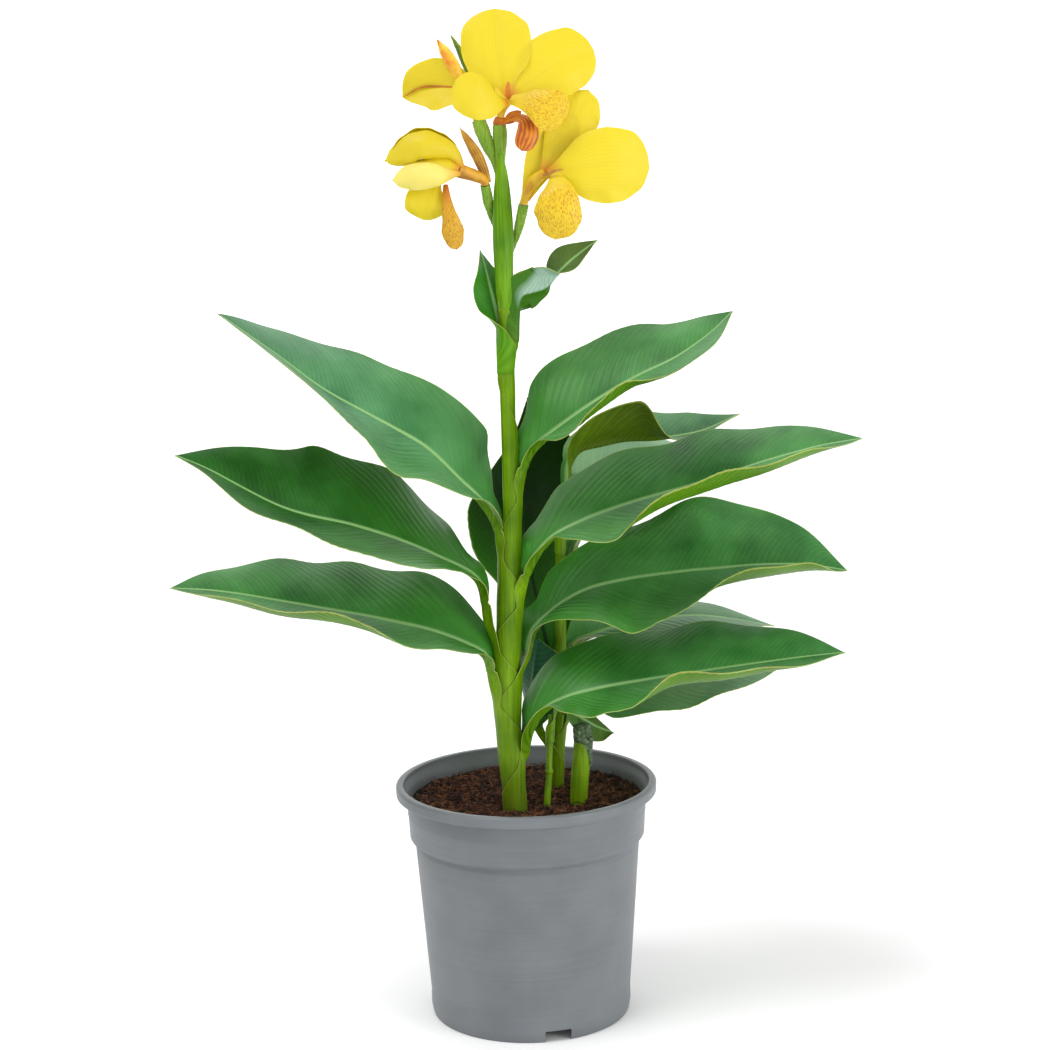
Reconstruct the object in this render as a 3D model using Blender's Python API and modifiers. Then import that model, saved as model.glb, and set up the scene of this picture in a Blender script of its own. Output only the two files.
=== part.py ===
"""Canna lily in a grey nursery pot, modelled piece by piece.

Metres, +Z up. The origin is the centre of the pot's base on the ground, -Y is the front,
and the leaves stand in two ranks, to -X and to +X. Tables below are in millimetres.
"""

import math

import bmesh
import bpy
from mathutils import Vector, noise

MM = 0.001
GAP = 0.3

# Pot: a 19 cm injection-moulded nursery pot
POT_HEIGHT = 173.0
RIM_RADIUS = 95.0
RIM_INNER_RADIUS = 89.5
LIP_HEIGHT = 8.0
LIP_ROUNDING = 1.4
COLLAR_TOP_RADIUS = 87.6
COLLAR_FOOT_RADIUS = 85.4
STEP_TOP = 134.0
STEP_FOOT = 129.5
BODY_TOP_RADIUS = 82.0
BASE_RADIUS = 72.3
WALL = 1.6
FLOOR_UNDERSIDE = 10.0
BOSS_RADIUS = 12.0
POT_STEPS = 40
NOTCH_WIDTH = 19.5
NOTCH_HEIGHT = 8.5
NOTCH_FIRST_ANGLE = -75.0
NOTCH_COUNT = 3

# Soil
SOIL_LEVEL = 157.0
SOIL_ROUGHNESS = 2.0
SOIL_RINGS = (0.0, 17.0, 34.0, 50.0, 66.0)
STEM_DEPTH = 34.0
HOLE_CLEARANCE = 0.9

# Main stem: height, axis x, axis y and outer radius with the leaf sheaths on it. It bends only
# just above the top of a sheath, where every sheath round it has a ring.
STEM_TABLE = (
    (123.3, -8, -24, 8.8),
    (150, -8, -24, 8.8),
    (193, -10.2, -24, 9.2),
    (237, -11.4, -24, 9.9),
    (257, -11.2, -24, 9.9),
    (277, -10.7, -24, 9.8),
    (309, -8.7, -24, 9.4),
    (342, -7.2, -24, 8.2),
    (385, -5, -24, 6.6),
    (459, -6, -24, 5.4),
    (483, -6.2, -24, 4.9),
    (492, -6.5, -24, 4.0),
    (518, -7, -24, 4.0),
    (560, -6, -23, 3.4),
    (606, -8, -22, 3.2),
    (636, -7, -24, 2.8),
)
SHEATH_WALL = 0.8
SHEATH_STEP = 1.2
SHEATH_FLARE = 1.3
SHEATH_JOG = 3.0
SHEATH_SLANT = 22.0
SHEATH_IN_SOIL = 150.0
CORE_INSET = 3.0
CORE_BARE_FROM = 492.0

# Leaves: blades thicken towards the rib by this many times, on the underside
BLADE_THICKNESS = 0.8
RIB_SWELL = 3.4
HALF_STRIPS = 4
EDGE_WAVE = 2.2
BLADE_ROWS = (0.0, 0.045, 0.1, 0.18, 0.28, 0.39, 0.5, 0.61, 0.73, 0.85, 0.94, 1.0)
FULL_WRAP = 144.0
TOP_WRAP = 60.0

# A leaf's rib runs through (x, y, z). Each half is a list of (share of the blade's length,
# half width, angle up from level where it leaves the rib, further turn to its edge).
MAIN_LEAVES = {
    "leaf_left_upper": {
        "heading": (-1, 0),
        "sheath_top": 341,
        "rib": [(-17, -26, 356), (-26, -30, 385), (-41, -30, 400), (-63, -30, 423), (-86, -32, 438),
                (-132, -36, 466), (-171, -40, 497), (-203, -44, 521)],
        "blade_from": 1,
        "back": [(0, 5, 40, 30), (0.06, 31, 42, -20), (0.15, 46, 51, -20), (0.35, 58, 48, -20),
                 (0.6, 54, 41, -20), (0.85, 30, 28, -20), (1, 0, 25, 0)],
        "front": [(0, 5, 20, 30), (0.04, 22, 0, 10), (0.15, 46, -5, 10), (0.3, 57, -26, 10),
                  (0.45, 57, -14, 10), (0.6, 54, -4, 10), (0.85, 30, -2, 10), (1, 0, 0, 0)],
    },
    "leaf_left_middle": {
        "heading": (-1, 0),
        "sheath_top": 276,
        "rib": [(-24, -28, 296), (-30, -34, 330), (-59, -36, 348), (-83, -40, 360), (-114, -46, 372),
                (-162, -54, 387), (-213, -62, 417), (-233, -66, 427)],
        "blade_from": 1,
        "back": [(0, 5, 40, 30), (0.06, 24, 26, -20), (0.15, 46, 33, -20), (0.35, 58, 51, -20),
                 (0.6, 54, 61, -20), (0.85, 30, 50, -20), (1, 0, 40, 0)],
        "front": [(0, 5, 20, 30), (0.05, 9, -20, 10), (0.12, 32, -8, 10), (0.2, 49, -10, 10),
                  (0.35, 58, -20, 20), (0.6, 54, -8, 10), (0.85, 30, -10, 10), (1, 0, 0, 0)],
    },
    "leaf_left_lower": {
        "heading": (-1, 0),
        "sheath_top": 236,
        "rib": [(-22, -30, 256), (-26, -34, 275), (-39, -36, 284), (-61, -40, 294), (-85, -44, 302),
                (-147, -50, 317), (-212, -54, 330), (-243, -56, 333)],
        "blade_from": 1,
        "back": [(0, 5, 40, 30), (0.06, 31, 45, -20), (0.15, 46, 49, -20), (0.35, 56, 39, -20),
                 (0.6, 52, 36, -20), (0.85, 28, 35, -20), (1, 0, 30, 0)],
        "front": [(0, 5, 20, 30), (0.06, 28, -4, 10), (0.15, 46, -5, 10), (0.28, 55, -21, 30),
                  (0.4, 56, -18, 50), (0.6, 52, -24, 60), (0.85, 30, -26, 60), (1, 0, 0, 0)],
    },
    "leaf_right_upper": {
        "heading": (1, 0),
        "sheath_top": 384,
        "rib": [(2, -28, 402), (9, -30, 419), (37, -34, 442), (62, -38, 459), (87, -42, 473),
                (111, -46, 485), (134, -50, 501), (148, -53, 515)],
        "blade_from": 1,
        "back": [(0, 5, 40, 30), (0.06, 27, 57, -20), (0.15, 42, 64, -20), (0.35, 54, 54, -20),
                 (0.6, 50, 46, -20), (0.85, 28, 38, -20), (1, 0, 35, 0)],
        "front": [(0, 5, 20, 30), (0.06, 20, 4, 10), (0.15, 42, -12, 10), (0.35, 54, -20, 30),
                  (0.5, 52, -19, 30), (0.6, 50, -22, 30), (0.85, 28, -20, 10), (1, 0, -20, 0)],
    },
    "leaf_right_second": {
        "heading": (1, 0),
        "sheath_top": 308,
        "rib": [(2, -30, 327), (10, -34, 345), (22, -36, 359), (44, -40, 371), (69, -44, 381),
                (118, -54, 396), (197, -66, 421), (234, -70, 428)],
        "blade_from": 1,
        "back": [(0, 5, 40, 30), (0.06, 30, 36, -20), (0.15, 45, 46, -20), (0.35, 56, 42, -20),
                 (0.6, 52, 40, -20), (0.85, 28, 35, -20), (1, 0, 35, 0)],
        "front": [(0, 5, 20, 30), (0.08, 7, 10, 30), (0.14, 38, -10, 10), (0.25, 52, -25, 20),
                  (0.35, 56, -27, 30), (0.5, 54, -21, 50), (0.6, 52, -23, 50), (0.85, 28, -28, 50),
                  (1, 0, -10, 0)],
    },
    "leaf_right_third": {
        "heading": (1, 0),
        "sheath_top": 256,
        "rib": [(2.4, -23.5, 272), (7, -21, 289), (24, -18, 305), (47, -14, 317), (72, -10, 322),
                (136, -2, 327), (201, 2, 328), (235, 4, 322)],
        "blade_from": 1,
        "back": [(0, 5, 40, 30), (0.06, 28, 22, -20), (0.15, 46, 30, -20), (0.35, 58, 36, -20),
                 (0.6, 60, 58, -20), (0.85, 36, 54, -20), (1, 0, 45, 0)],
        "front": [(0, 5, 20, 30), (0.06, 24, -2, 10), (0.15, 48, -14, 10), (0.3, 60, -30, 10),
                  (0.4, 60, -26, 10), (0.6, 56, -26, 40), (0.85, 30, -24, 40), (1, 0, -5, 0)],
    },
    "leaf_right_lower": {
        "heading": (1, 0),
        "sheath_top": 192,
        "rib": [(0.7, -28, 208), (5, -34, 223), (14, -38, 236), (30, -42, 245), (53, -46, 252),
                (99, -54, 261), (179, -62, 273), (223, -66, 278)],
        "blade_from": 1,
        "back": [(0, 5, 40, 30), (0.06, 30, 43, -20), (0.15, 44, 46, -20), (0.35, 54, 38, -20),
                 (0.6, 50, 39, -20), (0.85, 28, 40, -20), (1, 0, 45, 0)],
        "front": [(0, 5, 20, 30), (0.1, 6, 0, 30), (0.16, 40, -5, 10), (0.25, 50, -20, 20),
                  (0.35, 54, -21, 30), (0.5, 52, -16, 50), (0.6, 50, -18, 50), (0.85, 28, -22, 50),
                  (1, 0, -5, 0)],
    },
    "leaf_top_left": {
        "heading": (-1, 0),
        "sheath_top": 458,
        "rib": [(-13, -26, 474), (-15, -30, 490), (-16, -34, 508), (-19, -34, 530), (-24, -32, 558)],
        "blade_from": 0,
        "back": [(0, 6, 0, 48), (0.3, 15, -30, 60), (0.6, 13, -20, 40), (1, 0, 0, 0)],
        "front": [(0, 6, 0, 48), (0.3, 17, 20, 100), (0.6, 13, 30, 60), (1, 0, 30, 0)],
    },
    "leaf_top_right": {
        "heading": (1, 0),
        "sheath_top": 482,
        "rib": [(1, -24, 496), (6, -20, 513), (15, -16, 530), (25, -14, 541), (40, -14, 551),
                (58, -16, 563)],
        "blade_from": 0,
        "back": [(0, 6, 0, 45), (0.3, 16, 30, 40), (0.6, 13, 20, 20), (0.8, 9, 20, 0), (1, 0, 20, 0)],
        "front": [(0, 6, 0, 45), (0.3, 20, 0, 70), (0.55, 18, -30, 40), (0.8, 10, -30, 0), (1, 0, -20, 0)],
    },
}

# Back shoots: stems as lists of (x, y, z, radius)
BACK_STEM = ((23, 34, 126, 4.0), (23, 34, 160, 4.4), (25, 36, 206, 4.6), (28, 38, 268, 4.2),
             (29, 42, 327, 3.6), (31, 45, 365, 3.0))
THIN_STEM = ((15, -18, 126, 2.2), (15, -18, 160, 2.6), (17, -14, 185, 2.4), (18, -8, 206, 2.2),
             (19, -2, 222, 1.6))
STUMP = ((38, -8, 126, 6.0), (38, -8, 160, 6.4), (40, -7, 184, 6.6), (42, -6, 209, 6.4))

BACK_LEAVES = {
    "leaf_back_upper": {
        "heading": (1, 0.2), "height": 362,
        "rib": [(36, 47, 386), (54, 49, 408), (79, 51, 414), (103, 51, 414), (134, 50, 420), (163, 50, 432)],
        "back": [(0, 5, 40, 30), (0.2, 26, 40, -20), (0.45, 34, 44, -20), (0.7, 25, 42, -20),
                 (0.9, 10, 30, -10), (1, 0, 20, 0)],
        "front": [(0, 5, 20, 30), (0.2, 30, 40, 30), (0.4, 38, 42, 20), (0.6, 26, 0, 10),
                  (0.8, 15, -8, 10), (1, 0, 0, 0)],
    },
    "leaf_back_pale": {
        "heading": (1, 0.6), "height": 318,
        "rib": [(39, 49, 336), (56, 60, 352), (82, 70, 368), (112, 78, 380), (150, 84, 388)],
        "back": [(0, 5, 40, 30), (0.1, 10, 40, 0), (0.25, 34, 44, -20), (0.5, 48, 50, -20),
                 (0.8, 30, 40, -20), (1, 0, 20, 0)],
        "front": [(0, 5, 20, 30), (0.2, 34, 0, 10), (0.5, 44, -4, 10), (0.8, 28, 0, 10), (1, 0, 0, 0)],
    },
    "leaf_back_middle": {
        "heading": (1, 0.5), "height": 250,
        "rib": [(36, 46, 262), (56, 54, 270), (90, 62, 276), (134, 68, 278), (190, 70, 268)],
        "back": [(0, 5, 40, 30), (0.2, 34, 30, -20), (0.5, 42, 26, -20), (0.8, 28, 24, -20), (1, 0, 20, 0)],
        "front": [(0, 5, 20, 30), (0.2, 30, -10, 10), (0.5, 40, -14, 10), (0.8, 24, -10, 10), (1, 0, 0, 0)],
    },
    "leaf_back_lower": {
        "heading": (1, 0.1), "height": 202,
        "rib": [(38, 36, 218), (58, 36, 230), (92, 36, 236), (136, 36, 242), (196, 32, 247)],
        "back": [(0, 5, 40, 30), (0.2, 24, 30, -20), (0.5, 32, 20, -20), (0.8, 22, 10, -20), (1, 0, 20, 0)],
        "front": [(0, 5, 20, 30), (0.15, 30, -30, 0), (0.4, 46, -26, 0), (0.65, 40, -24, 0),
                  (0.87, 20, -20, 0), (1, 0, 0, 0)],
    },
    "leaf_back_shaded": {
        "heading": (-0.55, 0.85), "height": 226,
        "rib": [(20, 52, 250), (14, 58, 280), (6, 62, 325), (2, 64, 385), (8, 62, 446)],
        "back": [(0, 5, 10, 30), (0.15, 28, 8, 10), (0.5, 38, 5, 10), (0.8, 30, 0, 10), (1, 0, 0, 0)],
        "front": [(0, 5, 10, 30), (0.15, 26, 10, 10), (0.5, 40, 5, 10), (0.8, 30, 0, 10), (1, 0, 0, 0)],
    },
    "leaf_back_low_left": {
        "heading": (-0.7, -0.7), "height": 182,
        "rib": [(14, 26, 196), (9, 22, 214), (8, 22, 240), (12, 26, 272)],
        "back": [(0, 4, 10, 30), (0.3, 18, 20, 20), (0.6, 24, 10, 10), (0.85, 18, 0, 10), (1, 0, 0, 0)],
        "front": [(0, 4, 10, 30), (0.3, 16, 20, 20), (0.6, 18, 10, 10), (0.85, 12, 0, 10), (1, 0, 0, 0)],
    },
}
YOUNG_LEAF = {
    "heading": (1, 0.1), "height": 219,
    "rib": [(24, -1, 228), (30, 0, 226), (40, 0, 220), (51, -1, 213), (65, -2, 207)],
    "back": [(0, 2, 40, 30), (0.3, 9, 0, 10), (0.6, 11, -20, 0), (0.85, 8, -20, 0), (1, 0, 0, 0)],
    "front": [(0, 2, 40, 30), (0.3, 8, 0, 10), (0.6, 10, 0, 0), (0.85, 7, 0, 0), (1, 0, 0, 0)],
}
BACK_LEAF_ROWS = (0.0, 0.07, 0.18, 0.32, 0.48, 0.64, 0.8, 0.92, 1.0)
BACK_LEAF_WRAP = 70.0
BACK_SHEATH_LENGTH = 14.0

# Bract round the flower stalk: height, how far its rib stands in front of the axis, radius and
# half wrap in degrees. It is open at the back.
BRACT_AXIS = (-6.6, -23.6)
BRACT = (
    (519, 5.6, 5.6, 130),
    (532, 6.0, 6.0, 118),
    (550, 6.6, 6.6, 94),
    (570, 7.0, 7.0, 72),
    (592, 6.6, 6.4, 66),
    (610, 6.0, 4.8, 56),
    (625, 5.6, 2.0, 30),
)

# Flower stalks grown on the stem: (x, y, z, radius)
STALKS = (
    ((-8, -22, 604, 1.8), (-11, -22, 618, 2.4), (-16, -23, 630, 3.4), (-20, -24, 641, 4.0), (-22, -24, 646, 3.6)),
    ((-7, -21, 545, 1.6), (-2, -18, 556, 1.8), (2, -18, 566, 2.4), (5, -22, 576, 3.4), (8, -26, 589, 3.6)),
    ((-7, -21, 565, 1.6), (-12, -18, 575, 1.8), (-15, -20, 584, 2.4), (-16.5, -24, 593, 3.6),
     (-18, -28, 603, 3.4)),
    ((-7, -24, 628, 2.6), (-7, -24, 636, 3.8), (-7, -24, 642, 3.6)),
)

# Blooms: tubes as (x, y, z, radius). A petal has a rib, the way its upper side faces, an outline
# as (share of the length, share of the width), and a half width, angle and turn as for leaves.
ROUND_PETAL = ((0, 0.18), (0.2, 0.5), (0.45, 0.88), (0.65, 1.0), (0.83, 0.84), (0.95, 0.45), (1, 0))
LONG_PETAL = ((0, 0.3), (0.25, 0.8), (0.5, 1.0), (0.75, 0.8), (0.92, 0.38), (1, 0))
BLOOMS = {
    "bloom_upper": {
        "tube": ((-6.3, -25.2, 648.6, 2.6), (-5.8, -26, 651, 2.8), (-4, -29, 655, 3.0), (0, -34, 661, 4.0),
                 (1, -37, 664, 2.6)),
        "petals": (
            ([(0, -36, 662), (-4, -34, 680), (-7, -29, 701), (-10, -20, 722)],
             (0, -1, 0.1), ROUND_PETAL, 25, 8, -24),
            ([(0, -36, 662), (20, -33, 672), (42, -28, 682), (61, -20, 689)],
             (0, -1, 0.15), ROUND_PETAL, 23, 8, -24),
            ([(0, -37, 662), (-13, -48, 660), (-27, -57, 661), (-39, -61, 665)],
             (0, -0.7, 0.7), ROUND_PETAL, 17, 4, -30),
            ([(0, -37, 661), (15, -46, 656), (27, -50, 649), (36, -49, 642)],
             (-0.2, -0.8, 0.5), ROUND_PETAL, 13, 0, -30),
            ([(0, -37, 661), (-1, -42, 667), (-1, -43, 675)], (0, -1, 0), LONG_PETAL, 2, 0, 0),
        ),
    },
    "bloom_far_left": {
        "tube": ((-22.4, -24.2, 646.8, 2.8), (-25, -26, 656, 3.2), (-28, -27, 665, 3.6),
                 (-30, -26, 669, 2.4)),
        "petals": (
            ([(-27, -27, 664), (-44, -24, 669), (-60, -20, 668), (-74, -18, 663)],
             (0, -1, 0.1), LONG_PETAL, 18, 14, 10),
            ([(-28, -26, 666), (-36, -25, 680), (-48, -24, 702)], (-0.6, -0.8, 0), LONG_PETAL, 4.2, 20, 60),
            ([(-27, -24, 667), (-30, -17, 684), (-39, -15, 704)], (-0.6, -0.8, 0), LONG_PETAL, 3.4, 20, 60),
        ),
    },
    "bloom_right": {
        "tube": ((8.2, -26.3, 590, 3.0), (12, -31, 603, 4.6), (18, -37, 612, 6.4), (23, -41, 616, 4.6)),
        "petals": (
            ([(20, -40, 614), (43, -45, 618), (69, -42, 617), (94, -34, 613)],
             (0, -1, 0), ROUND_PETAL, 27, 4, -24),
            ([(18, -38, 612), (34, -34, 630), (47, -29, 647), (57, -24, 664)],
             (0, -1, 0.1), ROUND_PETAL, 15, 4, -20),
            ([(13, -33, 606), (15, -32, 622), (24, -28, 636), (36, -24, 648)],
             (0, -1, 0.1), ROUND_PETAL, 13, 4, -20),
            ([(20, -42, 615), (29, -56, 600), (31, -58, 583), (29, -53, 565)],
             (0, -1, 0.2), ROUND_PETAL, 17, 0, -30),
        ),
    },
    "bloom_left": {
        "tube": ((-36.4, -36, 613.8, 3.8), (-39, -36.8, 614.8, 5.0), (-44, -38.5, 614, 8.0),
                 (-51, -40, 613, 9.5), (-61, -41, 614, 8.0), (-72, -41, 615, 4.0)),
        "petals": (
            ([(-44, -37, 619), (-53, -38, 629), (-67, -40, 631), (-87, -42, 618)],
             (0, -0.6, 0.8), LONG_PETAL, 18, -10, -60),
            ([(-46, -42, 610), (-54, -51, 611), (-68, -53, 609), (-83, -47, 606)],
             (0, -1, 0.3), LONG_PETAL, 9, 0, -40),
            ([(-46, -39, 608), (-50, -41, 598), (-54, -41, 589), (-57, -38, 580)],
             (0, -1, 0), ROUND_PETAL, 14.5, 4, -20),
            ([(-45, -41, 607), (-44, -47, 592), (-41, -49, 576), (-39, -46, 560)],
             (0.1, -1, 0), ROUND_PETAL, 7.5, 0, -40),
        ),
    },
}
CALYX = {
    "calyx_upper": {
        "tube": ((-7, -24, 642.4, 3.2), (-6.9, -24.1, 644.6, 3.3), (-6.4, -25, 648.1, 3.2)),
        "petals": (
            ([(-6, -26, 645), (0, -32, 646.5), (7, -38, 645), (10, -41, 637), (8, -42, 625)],
             (0.35, -0.35, 0.87), LONG_PETAL, 6.5, 10, 20),
        ),
    },
    "calyx_left": {
        "tube": ((-18.1, -28.3, 603.5, 2.8), (-18.6, -29.3, 606, 3.0), (-25, -32, 609.6, 3.4),
                 (-36, -35.8, 613.4, 4.2)),
        "petals": (
            ([(-20, -29, 607), (-25, -28.5, 621), (-35, -29, 642)],
             (-0.5, -0.8, 0.2), LONG_PETAL, 4.4, 20, 60),
        ),
    },
}
PETAL_ROWS = (0.0, 0.16, 0.34, 0.52, 0.7, 0.84, 0.95, 1.0)
PETAL_STRIPS = 2
PETAL_WAVE = 1.0
PETAL_THICKNESS = 0.9

COLOURS = {
    "pot_grey": (0.13, 0.14, 0.145), "soil_brown": (0.05, 0.025, 0.015), "leaf_green": (0.05, 0.16, 0.05),
    "stem_green": (0.17, 0.34, 0.03), "bract_green": (0.22, 0.42, 0.08), "petal_yellow": (0.93, 0.78, 0.02),
    "calyx_orange": (0.55, 0.2, 0.02), "cut_stem": (0.25, 0.33, 0.12),
}
ROUGHNESS = {"pot_grey": 0.45, "soil_brown": 0.95, "leaf_green": 0.4}
DEFAULT_ROUGHNESS = 0.5


# Scene helpers

def clear_scene():
    for obj in list(bpy.data.objects):
        bpy.data.objects.remove(obj, do_unlink=True)


def new_collection(name):
    made = bpy.data.collections.new(name)
    bpy.context.scene.collection.children.link(made)
    return made


def material(name):
    found = bpy.data.materials.get(name)
    if found:
        return found
    made = bpy.data.materials.new(name)
    made.use_nodes = True
    shader = made.node_tree.nodes["Principled BSDF"]
    shader.inputs["Base Color"].default_value = (*COLOURS[name], 1.0)
    shader.inputs["Roughness"].default_value = ROUGHNESS.get(name, DEFAULT_ROUGHNESS)
    return made


def object_from_bmesh(name, bm, collection, finish=None):
    mesh = bpy.data.meshes.new(name)
    bm.to_mesh(mesh)
    bm.free()
    mesh.shade_smooth()
    made = bpy.data.objects.new(name, mesh)
    collection.objects.link(made)
    if finish:
        mesh.materials.append(material(finish))
    return made


def evaluated_mesh(obj):
    bpy.context.view_layer.update()
    graph = bpy.context.evaluated_depsgraph_get()
    return bpy.data.meshes.new_from_object(obj.evaluated_get(graph), depsgraph=graph)


def freeze(obj):
    """Puts the object's modifiers into its mesh."""
    mesh = evaluated_mesh(obj)
    obj.modifiers.clear()
    obj.data = mesh


def join_all(target, pieces, solver="EXACT"):
    """Unites the pieces with the target in one solid, and removes them."""
    group = bpy.data.collections.new(target.name + "_pieces")
    bpy.context.scene.collection.children.link(group)
    for piece in pieces:
        for owner in list(piece.users_collection):
            owner.objects.unlink(piece)
        group.objects.link(piece)
    union = target.modifiers.new("join", "BOOLEAN")
    union.operation = "UNION"
    union.operand_type = "COLLECTION"
    union.collection = group
    union.solver = solver
    freeze(target)
    for piece in pieces:
        bpy.data.objects.remove(piece, do_unlink=True)
    bpy.data.collections.remove(group)


def cut_all(target, cutters):
    for cutter in cutters:
        cut = target.modifiers.new(cutter.name, "BOOLEAN")
        cut.operation = "DIFFERENCE"
        cut.object = cutter
        cutter.hide_render = True
        cutter.display_type = "WIRE"


# Curves

def smooth_value(keys, at, column=1):
    """Value at a place along rising keys, by a cubic that never overshoots them."""
    places = [key[0] for key in keys]
    values = [key[column] for key in keys]
    if at <= places[0]:
        return values[0]
    if at >= places[-1]:
        return values[-1]
    spans = [b - a for a, b in zip(places, places[1:])]
    rises = [(b - a) / span for a, b, span in zip(values, values[1:], spans)]
    slopes = [rises[0]]
    for before, after in zip(rises, rises[1:]):
        slopes.append(0.0 if before * after <= 0 else 2 * before * after / (before + after))
    slopes.append(rises[-1])
    i = max(k for k in range(len(spans)) if places[k] <= at)
    t = (at - places[i]) / spans[i]
    return (
        (2 * t**3 - 3 * t**2 + 1) * values[i]
        + (t**3 - 2 * t**2 + t) * spans[i] * slopes[i]
        + (3 * t**2 - 2 * t**3) * values[i + 1]
        + (t**3 - t**2) * spans[i] * slopes[i + 1]
    )


class Route:
    """A smooth curve through points in millimetres, read by its length along the curve."""

    SAMPLES = 10

    def __init__(self, points):
        given = [Vector(p[:3]) for p in points]
        padded = [2 * given[0] - given[1]] + given + [2 * given[-1] - given[-2]]
        self.points = []
        self.knots = []
        for i in range(1, len(padded) - 2):
            self.points += self.stretch(*padded[i - 1:i + 3])
        self.points.append(given[-1])
        self.places = [0.0]
        for a, b in zip(self.points, self.points[1:]):
            self.places.append(self.places[-1] + (b - a).length)
        self.knots = self.places[::self.SAMPLES]
        self.length = self.places[-1]

    def stretch(self, p0, p1, p2, p3):
        """Points from p1 up to p2 on the centripetal spline through the four."""
        t1 = (p1 - p0).length ** 0.5
        t2 = t1 + (p2 - p1).length ** 0.5
        t3 = t2 + (p3 - p2).length ** 0.5
        made = []
        for k in range(self.SAMPLES):
            t = t1 + (t2 - t1) * k / self.SAMPLES
            a1 = p0.lerp(p1, t / t1)
            a2 = p1.lerp(p2, (t - t1) / (t2 - t1))
            a3 = p2.lerp(p3, (t - t2) / (t3 - t2))
            b1 = a1.lerp(a2, t / t2)
            b2 = a2.lerp(a3, (t - t1) / (t3 - t1))
            made.append(b1.lerp(b2, (t - t1) / (t2 - t1)))
        return made

    def at(self, place):
        place = min(max(place, 0.0), self.length)
        i = max(k for k, start in enumerate(self.places[:-1]) if start <= place)
        span = self.places[i + 1] - self.places[i]
        return self.points[i].lerp(self.points[i + 1], (place - self.places[i]) / span)

    def direction(self, place, reach=1.5):
        return (self.at(place + reach) - self.at(place - reach)).normalized()


def tube(name, points, collection, finish=None, smooth=True):
    """A closed round stem through (x, y, z, radius) points, as a mesh."""
    data = bpy.data.curves.new(name, "CURVE")
    data.dimensions = "3D"
    data.bevel_depth = MM
    data.bevel_resolution = 4 if points[0][3] > 5 else 2
    data.use_fill_caps = True
    spline = data.splines.new("POLY")
    if smooth:
        route = Route(points)
        keys = [(knot, point[3]) for knot, point in zip(route.knots, points)]
        halfway = [(a + b) / 2 for a, b in zip(route.knots, route.knots[1:])] if len(points) < 4 else []
        places = sorted(route.knots + halfway)
        rings = [(*route.at(place), smooth_value(keys, place)) for place in places]
    else:
        rings = points
    spline.points.add(len(rings) - 1)
    for point, (x, y, z, radius) in zip(spline.points, rings):
        point.co = (x * MM, y * MM, z * MM, 1.0)
        point.radius = radius
    curve = bpy.data.objects.new(name, data)
    collection.objects.link(curve)
    mesh = evaluated_mesh(curve)
    bpy.data.objects.remove(curve, do_unlink=True)
    bm = bmesh.new()
    bm.from_mesh(mesh)
    bmesh.ops.remove_doubles(bm, verts=bm.verts, dist=0.01 * MM)
    bmesh.ops.recalc_face_normals(bm, faces=bm.faces)
    bpy.data.meshes.remove(mesh)
    return object_from_bmesh(name, bm, collection, finish)


# Blades: leaves, bracts and petals are one kind of surface

def along_arc(width, angle, turn, share):
    """How far out and up a half blade has come at a share of its width."""
    start, bend = math.radians(angle), math.radians(turn)
    if abs(bend) < 1e-4:
        return width * share * math.cos(start), width * share * math.sin(start)
    radius = width / bend
    end = start + bend * share
    return radius * (math.sin(end) - math.sin(start)), radius * (math.cos(start) - math.cos(end))


class Row:
    """One cross-section of a blade: its middle on the rib, two directions and two halves."""

    def __init__(self, middle, left, up, left_half, right_half, rib=0.0, waves=(0.0, 0.0)):
        self.middle = middle
        self.left = left
        self.up = up
        self.halves = (left_half, right_half)
        self.rib = rib
        self.waves = waves

    def point(self, step, strips):
        """The point that many strips from the rib, to the left where it is negative."""
        right = step > 0
        out, rise = along_arc(*self.halves[right], abs(step) / strips)
        rise += self.waves[right] * (step / strips) ** 2
        return self.middle + self.left * (-out if right else out) + self.up * rise

    def wall(self, step, strips):
        """Thickness there, as a share of the thickest rib."""
        return (1.0 + self.rib * max(0.0, 1.0 - 2.2 * abs(step) / strips)) / (1.0 + RIB_SWELL)


def blade(name, rows, strips, thickness, collection, finish):
    """A thin blade through rows. Its wall grows on the underside, most of all at the rib."""
    bm = bmesh.new()
    bmesh.ops.create_grid(bm, x_segments=2 * strips, y_segments=len(rows) - 1, size=0.5)
    weights = bm.verts.layers.float.new("wall")
    for vert in bm.verts:
        row = rows[round((vert.co.y + 0.5) * (len(rows) - 1))]
        step = round(vert.co.x * 2 * strips)
        vert.co = row.point(step, strips) * MM
        vert[weights] = row.wall(step, strips)
    bmesh.ops.remove_doubles(bm, verts=bm.verts, dist=0.02 * MM)
    bmesh.ops.triangulate(bm, faces=bm.faces)
    walls = [vert[weights] for vert in bm.verts]
    made = object_from_bmesh(name, bm, collection, finish)
    group = made.vertex_groups.new(name="wall")
    for index, wall in enumerate(walls):
        group.add([index], wall, "REPLACE")
    solid = made.modifiers.new("wall", "SOLIDIFY")
    solid.thickness = thickness * (1.0 + RIB_SWELL) * MM
    solid.offset = -1.0
    solid.vertex_group = "wall"
    freeze(made)
    return made


def edge_waves(share, waves, phase, height):
    """Height of the wave at the left and the right edge, dying out at both ends."""
    swell = height * math.sin(math.pi * share) ** 0.7 if 0 < share < 1 else 0.0
    turn = math.tau * waves * share + phase
    return swell * math.sin(turn), swell * math.sin(turn * 1.13 + 2.1)


def halves_at(spec, share, back_is_left):
    back = [smooth_value(spec["back"], share, column) for column in (1, 2, 3)]
    front = [smooth_value(spec["front"], share, column) for column in (1, 2, 3)]
    return (back, front) if back_is_left else (front, back)


# Leaves

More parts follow.
